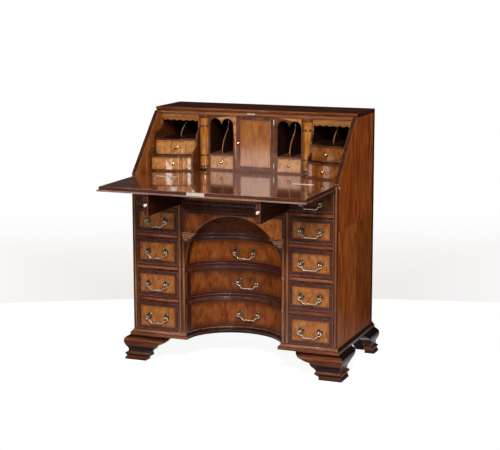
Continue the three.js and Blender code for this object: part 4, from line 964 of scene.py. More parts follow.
def spandrel(name, sign, field):
    # the golden field comes down to the arch; a dark band runs up the stile and along the top
    band, string, corner = archVeneer["band"], archVeneer["string"], archVeneer["corner"]
    outer, top = columnInner - archVeneer["margin"], rows[3][1] - archVeneer["margin"]
    bands = [(outer, top), (outer - band, top - band), (outer - band - string, top - band - string)]
    bm = bmesh.new()
    grain = bm.loops.layers.uv.new("grain")
    fade = bm.verts.layers.float.new("fade")

    def point(x, z, inside):
        vert = bm.verts.new(at(sign * x, -archVeneer["rise"], z))
        vert[fade] = min(1, max(0, inside / archVeneer["fadeReach"]))
        return vert

    def lay(corners, kind, turned=False):
        face = bm.faces.new(corners if sign > 0 else corners[::-1])
        face.material_index = kind
        for loop in face.loops:
            x, z = abs(loop.vert.co.x), loop.vert.co.z
            loop[grain].uv = (z, x) if turned else (x * sign, z)

    foot = rows[2][1] + archVeneer["foot"]
    fieldX, fieldZ = bands[2]
    reach = math.asin((foot - niche["springing"]) / niche["radius"])
    count, rings = archVeneer["steps"]
    grid = []
    for i in range(count + 1):
        share = i / count
        angle = math.pi / 2 + (reach - math.pi / 2) * i / count
        x, z = niche["radius"] * math.cos(angle), niche["springing"] + niche["radius"] * math.sin(angle)
        # outer end of the strip: along the top first, then down the stile
        farX, farZ = fieldX, fieldZ + (foot - fieldZ) * (share - corner) / (1 - corner)
        if share < corner:
            farX, farZ = fieldX * share / corner, fieldZ
        row = []
        for j in range(rings + 1):
            px, pz = x + (farX - x) * (j / rings), z + (farZ - z) * (j / rings)
            inside = min(fieldX - px, fieldZ - pz + archVeneer["fadeTop"], archVeneer["fadeMost"])
            row.append(point(px, pz, inside))
        grid.append(row)
    for i in range(count):
        for j in range(rings):
            lay([grid[i][j], grid[i + 1][j], grid[i + 1][j + 1], grid[i][j + 1]], 0)
    for level, kind in ((1, 2), (0, 1)):
        inner, outside = ([point(0, z, 0), point(x, z, 0), point(x, foot, 0)] for x, z in
                          (bands[level + 1], bands[level]))
        lay([inner[0], inner[1], outside[1], outside[0]], kind)
        lay([inner[1], inner[2], outside[2], outside[1]], kind, True)
    bmesh.ops.remove_doubles(bm, verts=bm.verts, dist=1e-7)
    extruded = bmesh.ops.extrude_face_region(bm, geom=bm.faces[:])
    moved = [v for v in extruded["geom"] if isinstance(v, bmesh.types.BMVert)]
    bmesh.ops.translate(bm, verts=moved, vec=(0, archVeneer["thick"] * mm, 0))
    piece(name, finishMesh(bm, name, [field, "crossband", "stringing"]), "carcass", "drawer_veneer")


def archMaterial(face):
    # the impost band is painted paler: a painted highlight
    above = centreOf(face)[2] - rows[2][1]
    return 2 if above < -1 else 0 if above < impostBeads["head"] else 1


softened("arch_panel", "archPanel", ["impost", "rail", "caseFront"], archMaterial, edge=0.6)
spandrel("spandrel_left", -1, "spandrelDeep")
spandrel("spandrel_right", 1, "spandrelBright")
start = math.asin(archBead["rise"] / niche["radius"])
archAngles = [start + (math.pi - 2 * start) * i / archBead["steps"] for i in range(archBead["steps"] + 1)]
# the bead round the arch is painted pale: a painted highlight
rods("archBead", [[at(niche["radius"] * math.cos(a) * archBead["out"], archBead["y"],
                      niche["springing"] + niche["radius"] * math.sin(a) * archBead["out"])
                   for a in archAngles]], archBead["radius"], "wornEdge")

for side, sign in bothSides:
    rods(f"impostBeads_{side}", [[at(sign * x, y, rows[2][1] + rise) for x in ends]
                                 for rise, y, *ends in impostBeads["steps"]],
         impostBeads["radius"], "wornEdge")

nicheRail = {"band": 0, "string": 0, "rise": 1.5, "sink": 2.0, "steps": (48, 3), "finishes": ["nicheRail"],
             "level": True, "margin": 0.06, "crown": 31, "gap": 0.4}
railHeights = {"lower": (rows[0][1], rows[1][0]), "upper": (rows[1][1], rows[2][0]),
               "crown": (rows[2][1], rows[2][1] + nicheRail["crown"])}
dome = dict(nicheRail, steps=(48, 18), finishes=["nicheDome"], rise=2.6, margin=0.04,
            top=niche["crown"] - 3.4)
cheek = dict(nicheRail, steps=(5, 8), finishes=["nicheCheek"], rise=0.8, margin=0.05, below=2)
nicheBeads = {"margin": 0.09, "steps": 44, "proud": 1.2, "radius": 2.0, "low": (5.5, 12), "high": 5.5}


def nicheFrameMaterial(face):
    x, y, z = centreOf(face)
    if y > niche["depth"] + 3:
        return 1
    # the frame round the dome is painted dark like the dome: painted shade
    if z > rows[2][1] + 28:
        return 2
    return 0 if abs(face.normal.z) < 0.5 else 1


def domeFace(u, v, out):
    # heights crowd towards the crown, where the bowl closes
    low = railHeights["crown"][1]
    return bowlFace(u, low + (dome["top"] - low) * math.sin(v / 100 * math.pi / 2), out)


def acrossBowl(margin):
    return margin * niche["radius"], (math.pi - margin) * niche["radius"]


softened("niche_frame", "nicheFrame", ["caseFront", "drawerBox", "nicheDome"], nicheFrameMaterial, edge=0.5)
for label, (low, high) in railHeights.items():
    veneerSheet(f"nicheRail_{label}", bowlFace, acrossBowl(nicheRail["margin"]),
                within((low, high), nicheRail["gap"]), nicheRail, slot="dark_mahogany")
veneerSheet("nicheDome", domeFace, acrossBowl(dome["margin"]), (0, 100), dome)
nicheLines = []
for low, high in railHeights.values():
    for z in (low + nicheBeads["low"][0], low + nicheBeads["low"][1], high - nicheBeads["high"]):
        margin, steps = nicheBeads["margin"], nicheBeads["steps"]
        nicheLines.append([nicheBowl(margin + (math.pi - 2 * margin) * i / steps, z, nicheBeads["proud"])
                           for i in range(steps + 1)])
rods("nicheBeads", nicheLines, nicheBeads["radius"], "nicheBead")

# the cheeks beside the drawers carry a darker copy of the niche's veneer out to the jambs: painted shade
for index, (low, high) in enumerate(rows[:3]):
    for side, sign in bothSides:
        angles = (cheek["margin"], math.acos(1 - (niche["margin"] + cheek["gap"]) / niche["radius"]))
        if sign > 0:
            angles = (math.pi - angles[1], math.pi - angles[0])
        veneerSheet(f"nicheCheek_{side}_{index + 1}", bowlFace, [angle * niche["radius"] for angle in angles],
                    (low, high if index < 2 else high - cheek["below"]), cheek)

# the collars on the jambs are painted pale: a painted highlight
collar = {"above": 15.5, "apart": 3.6, "x": (218.5, 229.4), "y": -0.6, "radius": 2.2}
for side, sign in bothSides:
    rods(f"jambCollars_{side}", [[at(sign * x, collar["y"], rows[row][1] + collar["above"] + dz)
                                  for x in collar["x"]]
                                 for row in (0, 1) for dz in (-collar["apart"], collar["apart"])],
         collar["radius"], "wornEdge")
print("kneehole")


# Base moulding and feet

moulding = {"plan": 130, "back": 494, "overhang": 1.5, "steps": 44, "face": 5, "slope": 122}
# the bead's pale line is a painted highlight, and the dark rod below it paints the shade of a groove
# how far each stands out, its height, radius and finish
mouldingLines = {"mouldingBead": (1.8, 128.6, 1.9, "wornEdge"),
                 "mouldingGroove": (10.4, 119.6, 1.5, "cockbead")}
ogee = {"solid": ((45, 20), (64.5, 26.6), (84, 32), (97, 28.5), (106, 13)),
        "turned": ((45, 20), (50, 22.6), (56, 26.4), (62, 29.8), (68, 32.4), (76, 34.4), (84, 34.8),
                   (92, 33.2), (98, 29.4), (106, 13)),
        "swollen": (46, 105), "mitre": (14, 1.5), "edge": 1.3, "crest": (84, 91), "step": (27.5, 31.5),
        "belly": (60, 99), "base": (5, 15)}


def mouldingMaterial(face):
    # faces behind the front are painted darker, a painted shade, and the upper slope paler, a painted light
    x, y, z = centreOf(face)
    if y > moulding["face"]:
        return 1
    return 2 if face.normal.z > 0.3 and z > moulding["slope"] else 0


def mouldingPath(projection, z):
    half, depth = nicheAt(moulding["plan"])
    outside = desk["caseHalf"] / mm + projection - moulding["overhang"]
    back, steps = moulding["back"], moulding["steps"]
    curve = [at(-(half - projection) * math.cos(math.pi * i / steps),
                (depth - projection) * math.sin(math.pi * i / steps), z) for i in range(steps + 1)]
    return [at(-outside, back, z), at(-outside, -projection, z), at(-half + projection, -projection, z),
            *curve, at(half - projection, -projection, z), at(outside, -projection, z), at(outside, back, z)]


def along(table, z):
    z = min(max(z, table[0][0]), table[-1][0])
    low = max(i for i in range(len(table) - 1) if table[i][0] <= z)
    (z0, out0), (z1, out1) = table[low], table[low + 1]
    return out0 + (out1 - out0) * (z - z0) / (z1 - z0)


def swellFoot(bm):
    for z, out in ogee["turned"][1:-1]:
        score(bm, at(0, 0, z), (0, 0, 1))
    (foot, head), (clear, mitre) = ogee["swollen"], ogee["mitre"]
    for vert in bm.verts:
        z = vert.co.z / mm
        if not foot < z < head:
            continue
        more = along(ogee["turned"], z) - along(ogee["solid"], z)
        beyond = abs(vert.co.x) / mm - desk["caseHalf"] / mm
        before = (desk["frontY"] - vert.co.y) / mm
        if beyond > clear and before < beyond + mitre:
            vert.co.x += math.copysign(more * mm, vert.co.x)
        if before > clear and beyond < before + mitre:
            vert.co.y -= more * mm


def footMaterial(face):
    # the crest of the ogee and the steps of the foot are painted pale, a painted highlight; the hollows and
    # the sides are painted nearly black, a painted shade
    height = centreOf(face)[2]
    crest, step, belly, base = (ogee[k][0] < height < ogee[k][1] for k in ("crest", "step", "belly", "base"))
    if abs(face.normal.x) > 0.6:
        return 1
    if crest or step:
        return 2 if face.normal.y < -0.25 else 0
    return 0 if belly or base else 1


softened("base_moulding", "baseMoulding", ["moulding", "mouldingShaded", "mouldingPaintedLight"], mouldingMaterial,
         edge=0.7)
for name, (projection, z, radius, finish) in mouldingLines.items():
    rods(name, [mouldingPath(projection, z)], radius, finish, "carcass", "dark_mahogany")
for end in ("front", "back"):
    for side, sign in bothSides:
        softened(f"foot_{end}_{side}", f"foot_{end}_{side}", ["foot", "footDark", "footEdge"], footMaterial,
                 edge=ogee["edge"], edgeFinish="footEdge", shape=swellFoot)
print("base")


# Drawers of the two columns, and the wide one over the kneehole

brassware = {"spacing": 80, "reach": 16, "head": 5.2, "petals": 10, "petalDepth": 0.075, "petalRound": 0.8,
             "bailRadius": 2.8, "bailDrop": 26, "knop": 1.2, "grip": (0.86, 0.34, 15), "clear": 12.5,
             "nicheClear": 13.2, "foot": -0.4, "nicheFoot": -0.9}
bailShape = [(1.0, 0), (1.06, 0), (1.11, -0.2), (1.02, -0.44), (0.86, -0.53), (0.73, -0.62), (0.66, -0.8),
             (0.57, -0.96), (0.4, -1.0), (0, -0.96)]


def petalled(angle):
    lobe = abs(math.cos(brassware["petals"] * angle / 2)) ** brassware["petalRound"]
    return 1 - brassware["petalDepth"] * (1 - lobe)


rosetteMesh = turnedMesh("rosettePattern", [
    (0, -0.9), (13.2, -0.9, 1), (13.5, 0.9, 1), (12.2, 1.9, 1), (10.2, 1.2), (8.4, 1.4), (6.8, 2.8),
    (4.8, 3.2), (0, 3.3)], 40, "brassDark", petalled)
postMesh = turnedMesh("postPattern", [
    (0, 1), (4.0, 1), (3.9, 3.4), (3.1, 4.6), (2.9, 8.5), (3.6, 10.4), (5.1, 13.0), (5.5, 16.0), (5.1, 18.6),
    (3.4, 20.6), (1.6, 21.15), (0, 21.2)], 24, "brass")


def bailPath(centre):
    # a swan-neck bail: up out of each post, in, and down to a level grip, which is the thickest
    end = brassware["spacing"] / 2 + brassware["head"] + 0.5
    right = [Vector((end * across - (brassware["knop"] if i == 0 else 0), 0, brassware["bailDrop"] * drop))
             for i, (across, drop) in enumerate(bailShape)]
    knots = right + [Vector((-p.x, 0, p.z)) for p in right[-2::-1]]
    path = []
    for i in range(len(knots) - 1):
        before, start, stop, after = (knots[max(0, min(k, len(knots) - 1))] for k in (i - 1, i, i + 1, i + 2))
        for t in (step / 5 for step in range(5)):
            path.append(0.5 * ((2 * start) + (stop - before) * t +
                               (2 * before - 5 * start + 4 * stop - after) * t * t +
                               (3 * start - before - 3 * stop + after) * t ** 3))
    path.append(knots[-1])
    thin, more, reach = brassware["grip"]
    return [(at(centre[0] + p.x, centre[1], centre[2] + p.z), thin + more * math.exp(-(p.x / reach) ** 2))
            for p in path]


def postsOf(x):
    return [x + s * brassware["spacing"] / 2 for s in (-1, 1)]


def handles(label, body, bailNode, centre, lean=0.0, foot=0.0):
    x, y, z = centre
    stands = [at(post, y + foot, z) for post in postsOf(x)]
    for name, mesh, finish in (("rosettes", rosetteMesh, "brassDark"), ("posts", postMesh, "brass")):
        fitting(f"{name}_{label}", mesh, stands, finish, body, turns=[(lean, 0, 0)] * 2)
    swing = (x, y - brassware["reach"] * math.cos(lean), z - brassware["reach"] * math.sin(lean))
    rods(f"bail_{label}", [bailPath(swing)], brassware["bailRadius"], "brass", bailNode, "antique_brass", 12,
         bailNode)


drawerVeneer = {"band": 12, "string": 1.2, "rise": 0.45, "sink": 0.3, "steps": (12, 8), "fadeReach": 6,
                "finishes": ["figured", "crossband", "stringing"]}
shadedVeneer = dict(drawerVeneer, finishes=["figuredShaded", "crossband", "crossband"])
cockbead = {"radius": 1.5, "out": 1.7, "inset": 1.6, "inside": 3.1, "face": 4, "frontBack": 17.9}


def drawerMaterial(face):
    y = centreOf(face)[1]
    inside = abs(face.normal.y) > 0.7 and y > cockbead["face"]
    return 0 if y < cockbead["frontBack"] and not inside else 1


def ringOn(x, y, z):
    (x0, x1), (z0, z1) = x, z
    return [at(x0, y, z0), at(x1, y, z0), at(x1, y, z1), at(x0, y, z1), at(x0, y, z0)]


def dressDrawer(node, boxName, frontName, beadName, veneer, drop=None):
    # box, veneered front and the bead round it
    x, y, z = spans(node)
    softened(node, boxName, ["darkUpright", "drawerBox"], drawerMaterial, edge=0.5, drop=drop)
    field, bead = ([within(span, cockbead[inset]) for span in (x, z)] for inset in ("inside", "inset"))
    veneerSheet(frontName, upright(), *field, veneer, node)
    rods(beadName, [ringOn(bead[0], -cockbead["out"], bead[1])], cockbead["radius"], "cockbead", node,
         "dark_mahogany")


for side, sign in bothSides:
    for row, (low, high) in enumerate(rows, 1):
        label, node = f"{side}_{row}", f"drawer_{side}_{row}"
        x, z = sum(spans(node)[0]) / 2, (low + high) / 2
        dressDrawer(node, f"drawerBox_{label}", f"drawerFront_{label}", f"cockbead_{label}",
                    shadedVeneer if row == 5 else drawerVeneer,
                    nearAxis([(post, z) for post in postsOf(x)], brassware["clear"]))
        handles(label, node, f"bail_{label}", (x, 0, z), foot=brassware["foot"])
dressDrawer("centre_drawer", "centreDrawerBox", "centreDrawerFront", "centreCockbead", drawerVeneer)
print("column drawers")


# Concave drawers of the kneehole

nicheVeneer = {"band": 0, "string": 0, "rise": 1.5, "sink": 0.4, "steps": (44, 10), "fadeReach": 30,
               "inside": 203, "ends": 2.4, "gap": 3}
nicheBead = {"radius": 1.6, "out": 2.2, "fromEdge": 2.2, "short": 1.5, "steps": 36}


def nicheDrawerMaterial(face):
    behind = centreOf(face)[1] > nicheVeneer["inside"]
    return 1 if behind or abs(face.normal.z) > 0.7 or face.normal.y > 0.2 else 0


for index in range(3):
    label, node = f"niche_{index + 1}", f"niche_drawer_{index + 1}"
    low, high = rows[index]
    middle = (low + high) / 2
    surface, arc = nicheFront(index)
    softened(node, f"nicheDrawerBox_{index + 1}", ["darkUpright", "drawerBox"], nicheDrawerMaterial, edge=0.4,
             drop=nearAxis([(post, middle) for post in postsOf(0)], brassware["nicheClear"]), flatten=False)
    veneerSheet(f"nicheDrawerFront_{index + 1}", surface, within((-arc, arc), nicheVeneer["ends"]),
                within((low, high), nicheVeneer["gap"]),
                dict(nicheVeneer, finishes=["niche" if index == 2 else "nicheLow"]), node)
    reach = arc - nicheBead["short"]
    rods(f"nicheCockbead_{index + 1}",
         [[surface(-reach + 2 * reach * i / nicheBead["steps"], z, nicheBead["out"])
           for i in range(nicheBead["steps"] + 1)]
          for z in (low + nicheBead["fromEdge"], high - nicheBead["fromEdge"])],
         nicheBead["radius"], "cockbead", node, "dark_mahogany")
    depths = [depth * math.sqrt(1 - (brassware["spacing"] / 2 / half) ** 2)
              for half, depth in (nicheAt(low), nicheAt(high))]
    lean = math.atan((depths[0] - depths[1]) / (high - low))
    handles(label, node, f"niche_bail_{index + 1}", (0, sum(depths) / 2, middle), lean,
            brassware["nicheFoot"])
print("niche drawers")


# Fall front, the bed it hinges on, their brasses, and the lopers

writing = {"band": 0, "string": 0, "rise": 0.2, "sink": 0.3, "steps": (8, 6), "finishes": ["writing"]}
fallPlan = {"edge": 1.8, "margin": 9.5, "lip": 7.6, "rebate": 8, "bed": (440, 300), "gap": 0.8, "seam": 0.5,
            "face": (438, 10, -4)}
hingePlan = {"half": (260, 350), "room": 1, "deep": 21, "recess": (0.6, 20.6),
             "screwRows": (-34, -12, 12, 34), "screwLines": (15, 10)}
lock = {"x": -16, "screws": 32, "z": 793.5, "sunk": 1.2, "proud": 0.3}
hingeY = (desk["hinge"].y - desk["frontY"]) / mm
writingZ = desk["writingZ"] / mm
fallX, fallY, fallZ = spans("fall_front")


def levelTop(u, v, out):
    return at(u, v, writingZ + out)


def levelUnder(u, v, out):
    return at(u, v, fallZ[0] - out)


def fallMaterial(face):
    # the lip stands out below the edge; its round is painted pale, a painted highlight, and the rest of the
    # edge dark, a painted shade
    if centreOf(face)[1] < fallY[0] + fallPlan["lip"] and face.normal.y < -0.2:
        return 2
    return 1 if facing(face, 2, -1) or facing(face, 2, 1) else 0


def hingeRoom(x, y):
    near, far = hingePlan["half"]
    return near - hingePlan["room"] < abs(x) < far + hingePlan["room"] and abs(y - hingeY) < hingePlan["deep"]


softened("fall_front", "fallBoard", ["railDark", "writingEdge", "writingPaintedHighlight"], fallMaterial,
         edge=fallPlan["edge"], edgeFinish="writingPaintedHighlight")
beside, beyond = hingePlan["recess"]
recess = [s * x for s in (-1, 1) for x in (hingePlan["half"][0] - beside, hingePlan["half"][1] + beside)]
margin, (bedHalf, bedBack), (faceHalf, faceFront, faceBack) = (fallPlan[k] for k in ("margin", "bed", "face"))
veneerSheet("fallSurface", levelTop, within(fallX, margin), (fallY[0] + margin, hingeY - fallPlan["seam"]),
            writing, "fall", "writing_veneer", hingeRoom, (recess, [hingeY - beyond]))
veneerSheet("bedSurface", levelTop, (-bedHalf, bedHalf), (hingeY + fallPlan["gap"], bedBack), writing,
            "carcass", "writing_veneer", hingeRoom, (recess, [hingeY + beyond]))
veneerSheet("fallFace", levelUnder, (-faceHalf, faceHalf), (fallY[0] + faceFront, faceBack),
            dict(drawerVeneer, band=22, rise=0.15, steps=(16, 8)), "fall", "writing_veneer")

screwMesh = turnedMesh("screwPattern", [(0, -0.3), (3.1, -0.3), (3.1, 0.1), (2.7, 0.32), (0, 0.36)], 14,
                       "brassBright")
for part, direction in (("bed", 1), ("fall", -1)):
    for side, sign in bothSides:
        node = f"{part}_hinge_{side}"
        softened(node, f"{part}Hinge_{side}", ["brassBright"], edge=0.25, edgeFinish="brassBright")
        centre = sign * sum(hingePlan["half"]) / 2
        spots = [at(centre + dx, hingeY + direction * hingePlan["screwLines"][i % 2], writingZ)
                 for i, dx in enumerate(hingePlan["screwRows"])]
        fitting(f"{part}HingeScrews_{side}", screwMesh, spots, "brass", nodes[node]["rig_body"],
                turns=[(-math.pi / 2, 0, 0.6 * i) for i in range(4)])

# the lock plate is let into the edge of the fall: half its width, how far it stands out, foot, head, easing
fallFaceY = fallY[0] + fallPlan["rebate"]
for name, half, proud, low, high, ease in (("lockPlate", 39, 0.3, 787.4, 799.6, 0.3),
                                           ("lockBolt", 9, 1.0, 790.5, 796.5, 0.4)):
    bar(name, (lock["x"] - half, fallFaceY - proud, low), (lock["x"] + half, fallFaceY + lock["sunk"], high),
        ease, "brassBright", "fall", "antique_brass")
fitting("lockScrews", screwMesh,
        [at(lock["x"] + s * lock["screws"], fallFaceY - lock["proud"], lock["z"]) for s in (-1, 1)],
        "brassBright", "fall", turns=[(0, 0.5, 0), (0, 1.4, 0)])

loperKnob = turnedMesh("loperKnobPattern", [
    (0, -1), (5.6, -1), (5.6, 0.8), (4.2, 1.6), (2.9, 3.2), (3.2, 4.6), (5.4, 6.6), (6.9, 9.2), (6.6, 11.4),
    (4.6, 13.2), (2.0, 13.9), (0, 14)], 28, "brassBright")
loperPlan = {"knob": 14, "clear": (8, 1.5)}
for side, sign in bothSides:
    node = f"loper_{side}"
    x, y, z = spans(node)
    nose, across, middle = y[0] + loperPlan["knob"], sum(x) / 2, sum(z) / 2

    def hasKnob(face):
        reach, behind = loperPlan["clear"]
        return all(math.hypot(v.co.x / mm - across, v.co.z / mm - middle) < reach and
                   (v.co.y - desk["frontY"]) / mm < nose + behind for v in face.verts)

    # the loper's sides are painted nearly black and its front dark: painted shade under the fall
    softened(node, f"loper_{side}", ["loperSide", "railDark"], lambda f: 1 if facing(f, 1, -1) else 0,
             edge=1.0, drop=hasKnob)
    fitting(f"loperKnob_{side}", loperKnob, [at(across, nose, middle)], "brassBright", node)
print("fall and lopers")


# Gallery

gallery = {"front": 258, "railFoot": 1040, "railBack": 272, "valance": (257, 259.5), "valanceFoot": 1005,
           "arches": (101, 209), "wing": 265, "dividers": (155, 349.85), "divider": 2.6, "dividerFoot": 868,
           "inside": 276, "wingFoot": 938, "wingFront": 264, "shelf": (262, 860)}
galleryFront = gallery["front"]


def galleryMaterial(face):
    x, y, z = centreOf(face)
    x = abs(x)
    if z > gallery["railFoot"] and y < gallery["railBack"]:
        return 0
    inWing = x > gallery["wing"]
    onValance = gallery["valance"][0] < y < gallery["valance"][1] and z > gallery["valanceFoot"]
    if facing(face, 1, -1) and onValance:
        if gallery["arches"][0] < x < gallery["arches"][1]:
            return 4
        if inWing:
            return 2
    # the dividers' fronts are painted pale: worn, and a painted highlight
    divider = any(abs(x - place) < gallery["divider"] for place in gallery["dividers"])
    if divider and z > gallery["dividerFoot"] and abs(face.normal.x) < 0.5:
        return 3
    # the inside, the hollows of the wings and the shelf tops are painted dark: painted shade
    hollow = inWing and z > gallery["wingFoot"] and y > gallery["wingFront"]
    onShelf = x > gallery["shelf"][0] and z > gallery["shelf"][1] and face.normal.z > 0.7
    return 1 if y > gallery["inside"] or hollow or onShelf else 0


softened("gallery_case", "galleryCase", ["gallery", "galleryInside", "valance", "wornEdge", "valanceArch"],
         galleryMaterial, edge=0.5)
# a small moulding closes the joint under the top board, and carries the lock's strike plate
topMoulding = {"x": 440.4, "y": (251, 258.4), "z": (1041, 1053.6), "ease": 1.2, "bead": 1047.6, "radius": 1.4,
               "short": 0.5, "proud": 0.2, "strike": (18, 0.5), "strikeZ": (1049.4, 1053.2)}
(topFront, topBack), (topFoot, topHead) = topMoulding["y"], topMoulding["z"]
bar("topMoulding", (-topMoulding["x"], topFront, topFoot), (topMoulding["x"], topBack, topHead),
    topMoulding["ease"], "galleryTop")
# its bead is painted pale: a painted highlight
rods("topMouldingBead",
     [[at(s * (topMoulding["x"] - topMoulding["short"]), topFront - topMoulding["proud"], topMoulding["bead"])
       for s in (-1, 1)]],
     topMoulding["radius"], "wornEdge")
(strikeHalf, strikeProud), (strikeFoot, strikeHead) = topMoulding["strike"], topMoulding["strikeZ"]
bar("strikePlate", (lock["x"] - strikeHalf, topFront - strikeProud, strikeFoot),
    (lock["x"] + strikeHalf, topFront + strikeProud, strikeHead), 0.2, "brassBright", slot="antique_brass")

smallKnob = turnedMesh("smallKnobPattern", [
    (0, -1), (4.6, -1), (4.6, 0.5), (3.4, 1.2), (2.0, 2.8), (2.4, 4.2), (4.4, 6.0), (4.9, 7.8), (4.0, 9.8),
    (1.8, 10.9), (0, 11)], 24, "brassKnob")
smallVeneer = {"band": 1.5, "string": 0, "rise": 0.4, "sink": 0.3, "steps": (8, 4), "fadeReach": 8,
               "finishes": ["smallFigured", "crossband"]}
smallPlan = {"margin": 0.3, "clear": 6, "knob": 1.35, "doorKnob": 1.25}
for side, sign in bothSides:
    node = f"small_drawer_{side}"
    x, y, z = spans(node)
    centre = (sum(x) / 2, sum(z) / 2)
    softened(node, f"smallDrawerBox_{side}", ["caseUpright", "drawerBox"],
             lambda f: 0 if centreOf(f)[1] < galleryFront + 1 else 1, edge=0.3,
             drop=nearAxis([centre], smallPlan["clear"]))
    veneerSheet(f"smallDrawerFront_{side}", upright(galleryFront), within(x, smallPlan["margin"]),
                within(z, smallPlan["margin"]), smallVeneer, node)
    fitting(f"smallKnob_{side}", smallKnob, [at(centre[0], galleryFront - 0.3, centre[1])], "brassKnob", node,
            size=smallPlan["knob"])

# Stepped drawers with their serpentine fronts, rebuilt so that the sweep is smooth
stepped = {"sweep": 44, "wall": 5, "frontWall": 12, "fronts": {"lower": 140, "upper": 186}, "steps": 40,
           "knob": 0.55}
# the shelves end in a nosing: height and front of each, and how far in its round lies
nosing = {"shelves": ((804.3, 135), (865.5, 135), (934.5, 181)), "x": (440, 265), "steps": 44, "in": 1.2,
          "radius": 2.9}


def serpentineDrawer(name, x, z, front, back, sign):
    (x0, x1), (z0, z1) = x, z
    wall, steps, sweep = stepped["wall"], stepped["steps"], stepped["sweep"]

    def outline(inset, side):
        across = [x1 - side + (x0 - x1 + 2 * side) * (i / steps) for i in range(steps + 1)]
        return [(px, front + sweep * serpentine((x1 - px) / (x1 - x0)) + inset) for px in across]

    outer = outline(0, 0) + [(x0, back), (x1, back)]
    inner = outline(stepped["frontWall"], wall) + [(x0 + wall, back - wall), (x1 - wall, back - wall)]
    bm = bmesh.new()
    levels = [(outer, z0), (outer, z1), (inner, z1), (inner, z0 + wall)]
    rings = [[bm.verts.new(at(sign * px, py, height)) for px, py in shape] for shape, height in levels]
    for low, high in zip(rings, rings[1:]):
        for i in range(len(low)):
            k = (i + 1) % len(low)
            bm.faces.new((low[i], low[k], high[k], high[i]))
    bm.faces.new(rings[0][::-1])
    bm.faces.new(rings[-1])
    bmesh.ops.recalc_face_normals(bm, faces=bm.faces)
    for face in bm.faces:
        px, py, pz = centreOf(face)
        face.material_index = 0 if face.normal.y < -0.2 and py < front + sweep + 1 and pz > z0 else 1
    return finishMesh(bm, name, ["caseUpright", "drawerBox"], sharp=40, recalc=False)


def stepFront(x, front, sign):
    def surface(u, v, out):
        share = (x[1] - u) / (x[1] - x[0])
        return at(sign * u, front + stepped["sweep"] * serpentine(share) - out, v)
    return surface


for side, sign in bothSides:
    for level, front in stepped["fronts"].items():
        label, node = f"{side}_{level}", f"step_drawer_{side}_{level}"
        x, y, z = spans(node)
        x = sorted(abs(v) for v in x)
        surface = stepFront(x, front, sign)
        boxMesh = serpentineDrawer(f"stepDrawerBox_{label}", x, z, front, y[1], sign)
        piece(f"stepDrawerBox_{label}", boxMesh, node, "drawer_veneer", node)
        finish = "stepShaded" if sign > 0 else "stepFigured"
        veneer = dict(smallVeneer, steps=(44, 4), finishes=[finish, "crossband"])
        veneerSheet(f"stepDrawerFront_{label}", surface, within(x, smallPlan["margin"]),
                    within(z, smallPlan["margin"]), veneer, node)
        knobX = x[1] + (x[0] - x[1]) * stepped["knob"]
        fitting(f"stepKnob_{label}", smallKnob, [surface(knobX, sum(z) / 2, 0.3)], "brassKnob", node,
                size=smallPlan["knob"])
    (outerX, innerX), steps = nosing["x"], nosing["steps"]
    rods(f"shelfNosings_{side}", [
        [at(sign * (outerX + (innerX - outerX) * i / steps),
            front + stepped["sweep"] * serpentine(i / steps) + nosing["in"], z) for i in range(steps + 1)]
        for z, front in nosing["shelves"]], nosing["radius"], "gallery")

# Half columns with their bases, collars and capitals; base and capital spread to the width of the bay
column = {"floor": 807.6, "top": 1040.7, "face": 263.7, "x": 237, "sides": 22, "ends": 13.5, "spread": 1.2,
          "swell": 1.04, "shaft": 19.05, "collars": (58, 49)}
columnHeight = column["top"] - column["floor"]
collarShape = ((19, -4), (20.4, -3.4), (21.8, -1.8), (22, 0), (21.8, 1.8), (20.4, 3.4), (19, 4))
lowCollar, highCollar = ([(radius, middle + rise) for radius, rise in collarShape]
                         for middle in (column["collars"][0], columnHeight - column["collars"][1]))
capital = ((18.6, 30), (19, 14), (20.4, 12.6), (21.4, 10.6), (20.2, 8.8), (21.4, 7), (22, 5.6), (22, 0))
columnProfile = [(22, 0), (22, 5.5), (21.4, 6.4), (20.2, 7.2), (21.6, 8.6), (22, 10.2), (21.4, 11.8),
                 (19.6, 13), (19, 15), *lowCollar, (18.8, 120), *highCollar,
                 *[(radius, columnHeight - below) for radius, below in capital]]

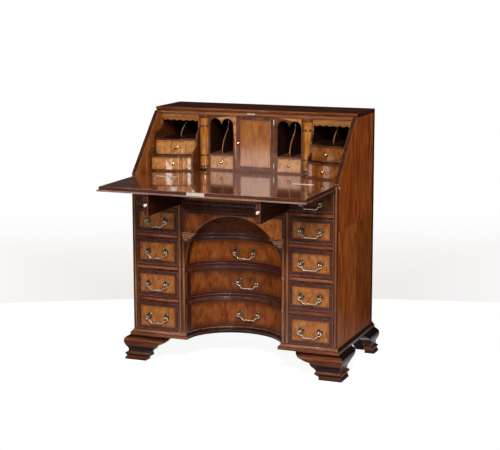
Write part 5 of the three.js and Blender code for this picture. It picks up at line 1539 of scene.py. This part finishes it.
for side, sign in bothSides:
    bm = bmesh.new()
    rings = []
    turn = [math.pi * (1 + i / column["sides"]) for i in range(column["sides"] + 1)]
    for radius, rise in columnProfile:
        atEnd = rise < column["ends"] or rise > columnHeight - column["ends"]
        wide = column["spread"] if atEnd else column["swell"]
        rings.append([bm.verts.new(at(sign * column["x"] + radius * wide * math.cos(angle),
                                      column["face"] + radius * math.sin(angle), column["floor"] + rise))
                      for angle in turn])
    for k, (low, high) in enumerate(zip(rings, rings[1:])):
        collared = max(columnProfile[k][0], columnProfile[k + 1][0]) > column["shaft"]
        for i in range(column["sides"]):
            bm.faces.new((low[i], low[i + 1], high[i + 1], high[i])).material_index = 1 if collared else 0
    bm.faces.new([ring[-1] for ring in rings[::-1]] + [ring[0] for ring in rings])
    bm.faces.new(rings[0][::-1])
    bm.faces.new(rings[-1])
    mesh = finishMesh(bm, f"halfColumn_{side}", ["columnWood", "columnCollar"], sharp=45)
    piece(f"halfColumn_{side}", mesh, "carcass", "drawer_veneer", f"half_column_{side}")

# Door between the pigeonholes
door = {"frame": 15, "gap": 0.2, "recess": 2.5, "moulding": 1.7, "mouldingY": 258.9, "back": 262, "knob": -78,
        "edge": 0.6, "hinges": {"upper": 1018, "lower": 832}, "knuckle": (258.6, 11, 2.2)}
doorX, depth, doorZ = spans("gallery_door")
doorMiddle = sum(doorZ) / 2
openingX, openingZ = within(doorX, door["frame"]), within(doorZ, door["frame"])
softened("gallery_door", "galleryDoor", ["doorFrame", "caseUpright"],
         lambda f: 0 if centreOf(f)[1] < door["back"] else 1, edge=door["edge"],
         drop=nearAxis([(door["knob"], doorMiddle)], smallPlan["clear"]))
veneerSheet("doorField", upright(galleryFront + door["recess"]), within(openingX, door["gap"]),
            within(openingZ, door["gap"]),
            dict(drawerVeneer, band=0, string=0, fadeReach=14, steps=(10, 12), finishes=["doorField"]),
            "gallery_door")
rods("doorMoulding", [ringOn(openingX, door["mouldingY"], openingZ)], door["moulding"], "doorFrameEdge",
     "gallery_door", "drawer_veneer")
fitting("doorKnob", smallKnob, [at(door["knob"], galleryFront, doorMiddle)], "brassKnob", "gallery_door",
        size=smallPlan["doorKnob"])
knuckleY, knuckleHalf, knuckleRadius = door["knuckle"]
for label, z in door["hinges"].items():
    rods(f"doorHinge_{label}", [[at(doorX[1] - door["gap"], knuckleY, z + s * knuckleHalf) for s in (-1, 1)]],
         knuckleRadius, "brassBright", "gallery_door", "antique_brass")

# Studs on the slope's ends
studMesh = turnedMesh("studPattern", [
    (0, -0.5), (6.5, -0.5), (6.5, 0.9), (5.6, 1.4), (4.6, 0.9), (4.2, 0.9), (3.4, 1.2), (0, 1.45)], 28,
    "brassBright")
studX, studY, studZ = case["stud"]
for side, sign in bothSides:
    fitting(f"slopeStud_{side}", studMesh, [at(sign * studX, studY, studZ)], "brassBright", "carcass",
            turns=[(0, 0, sign * math.pi / 2)])
print("gallery")
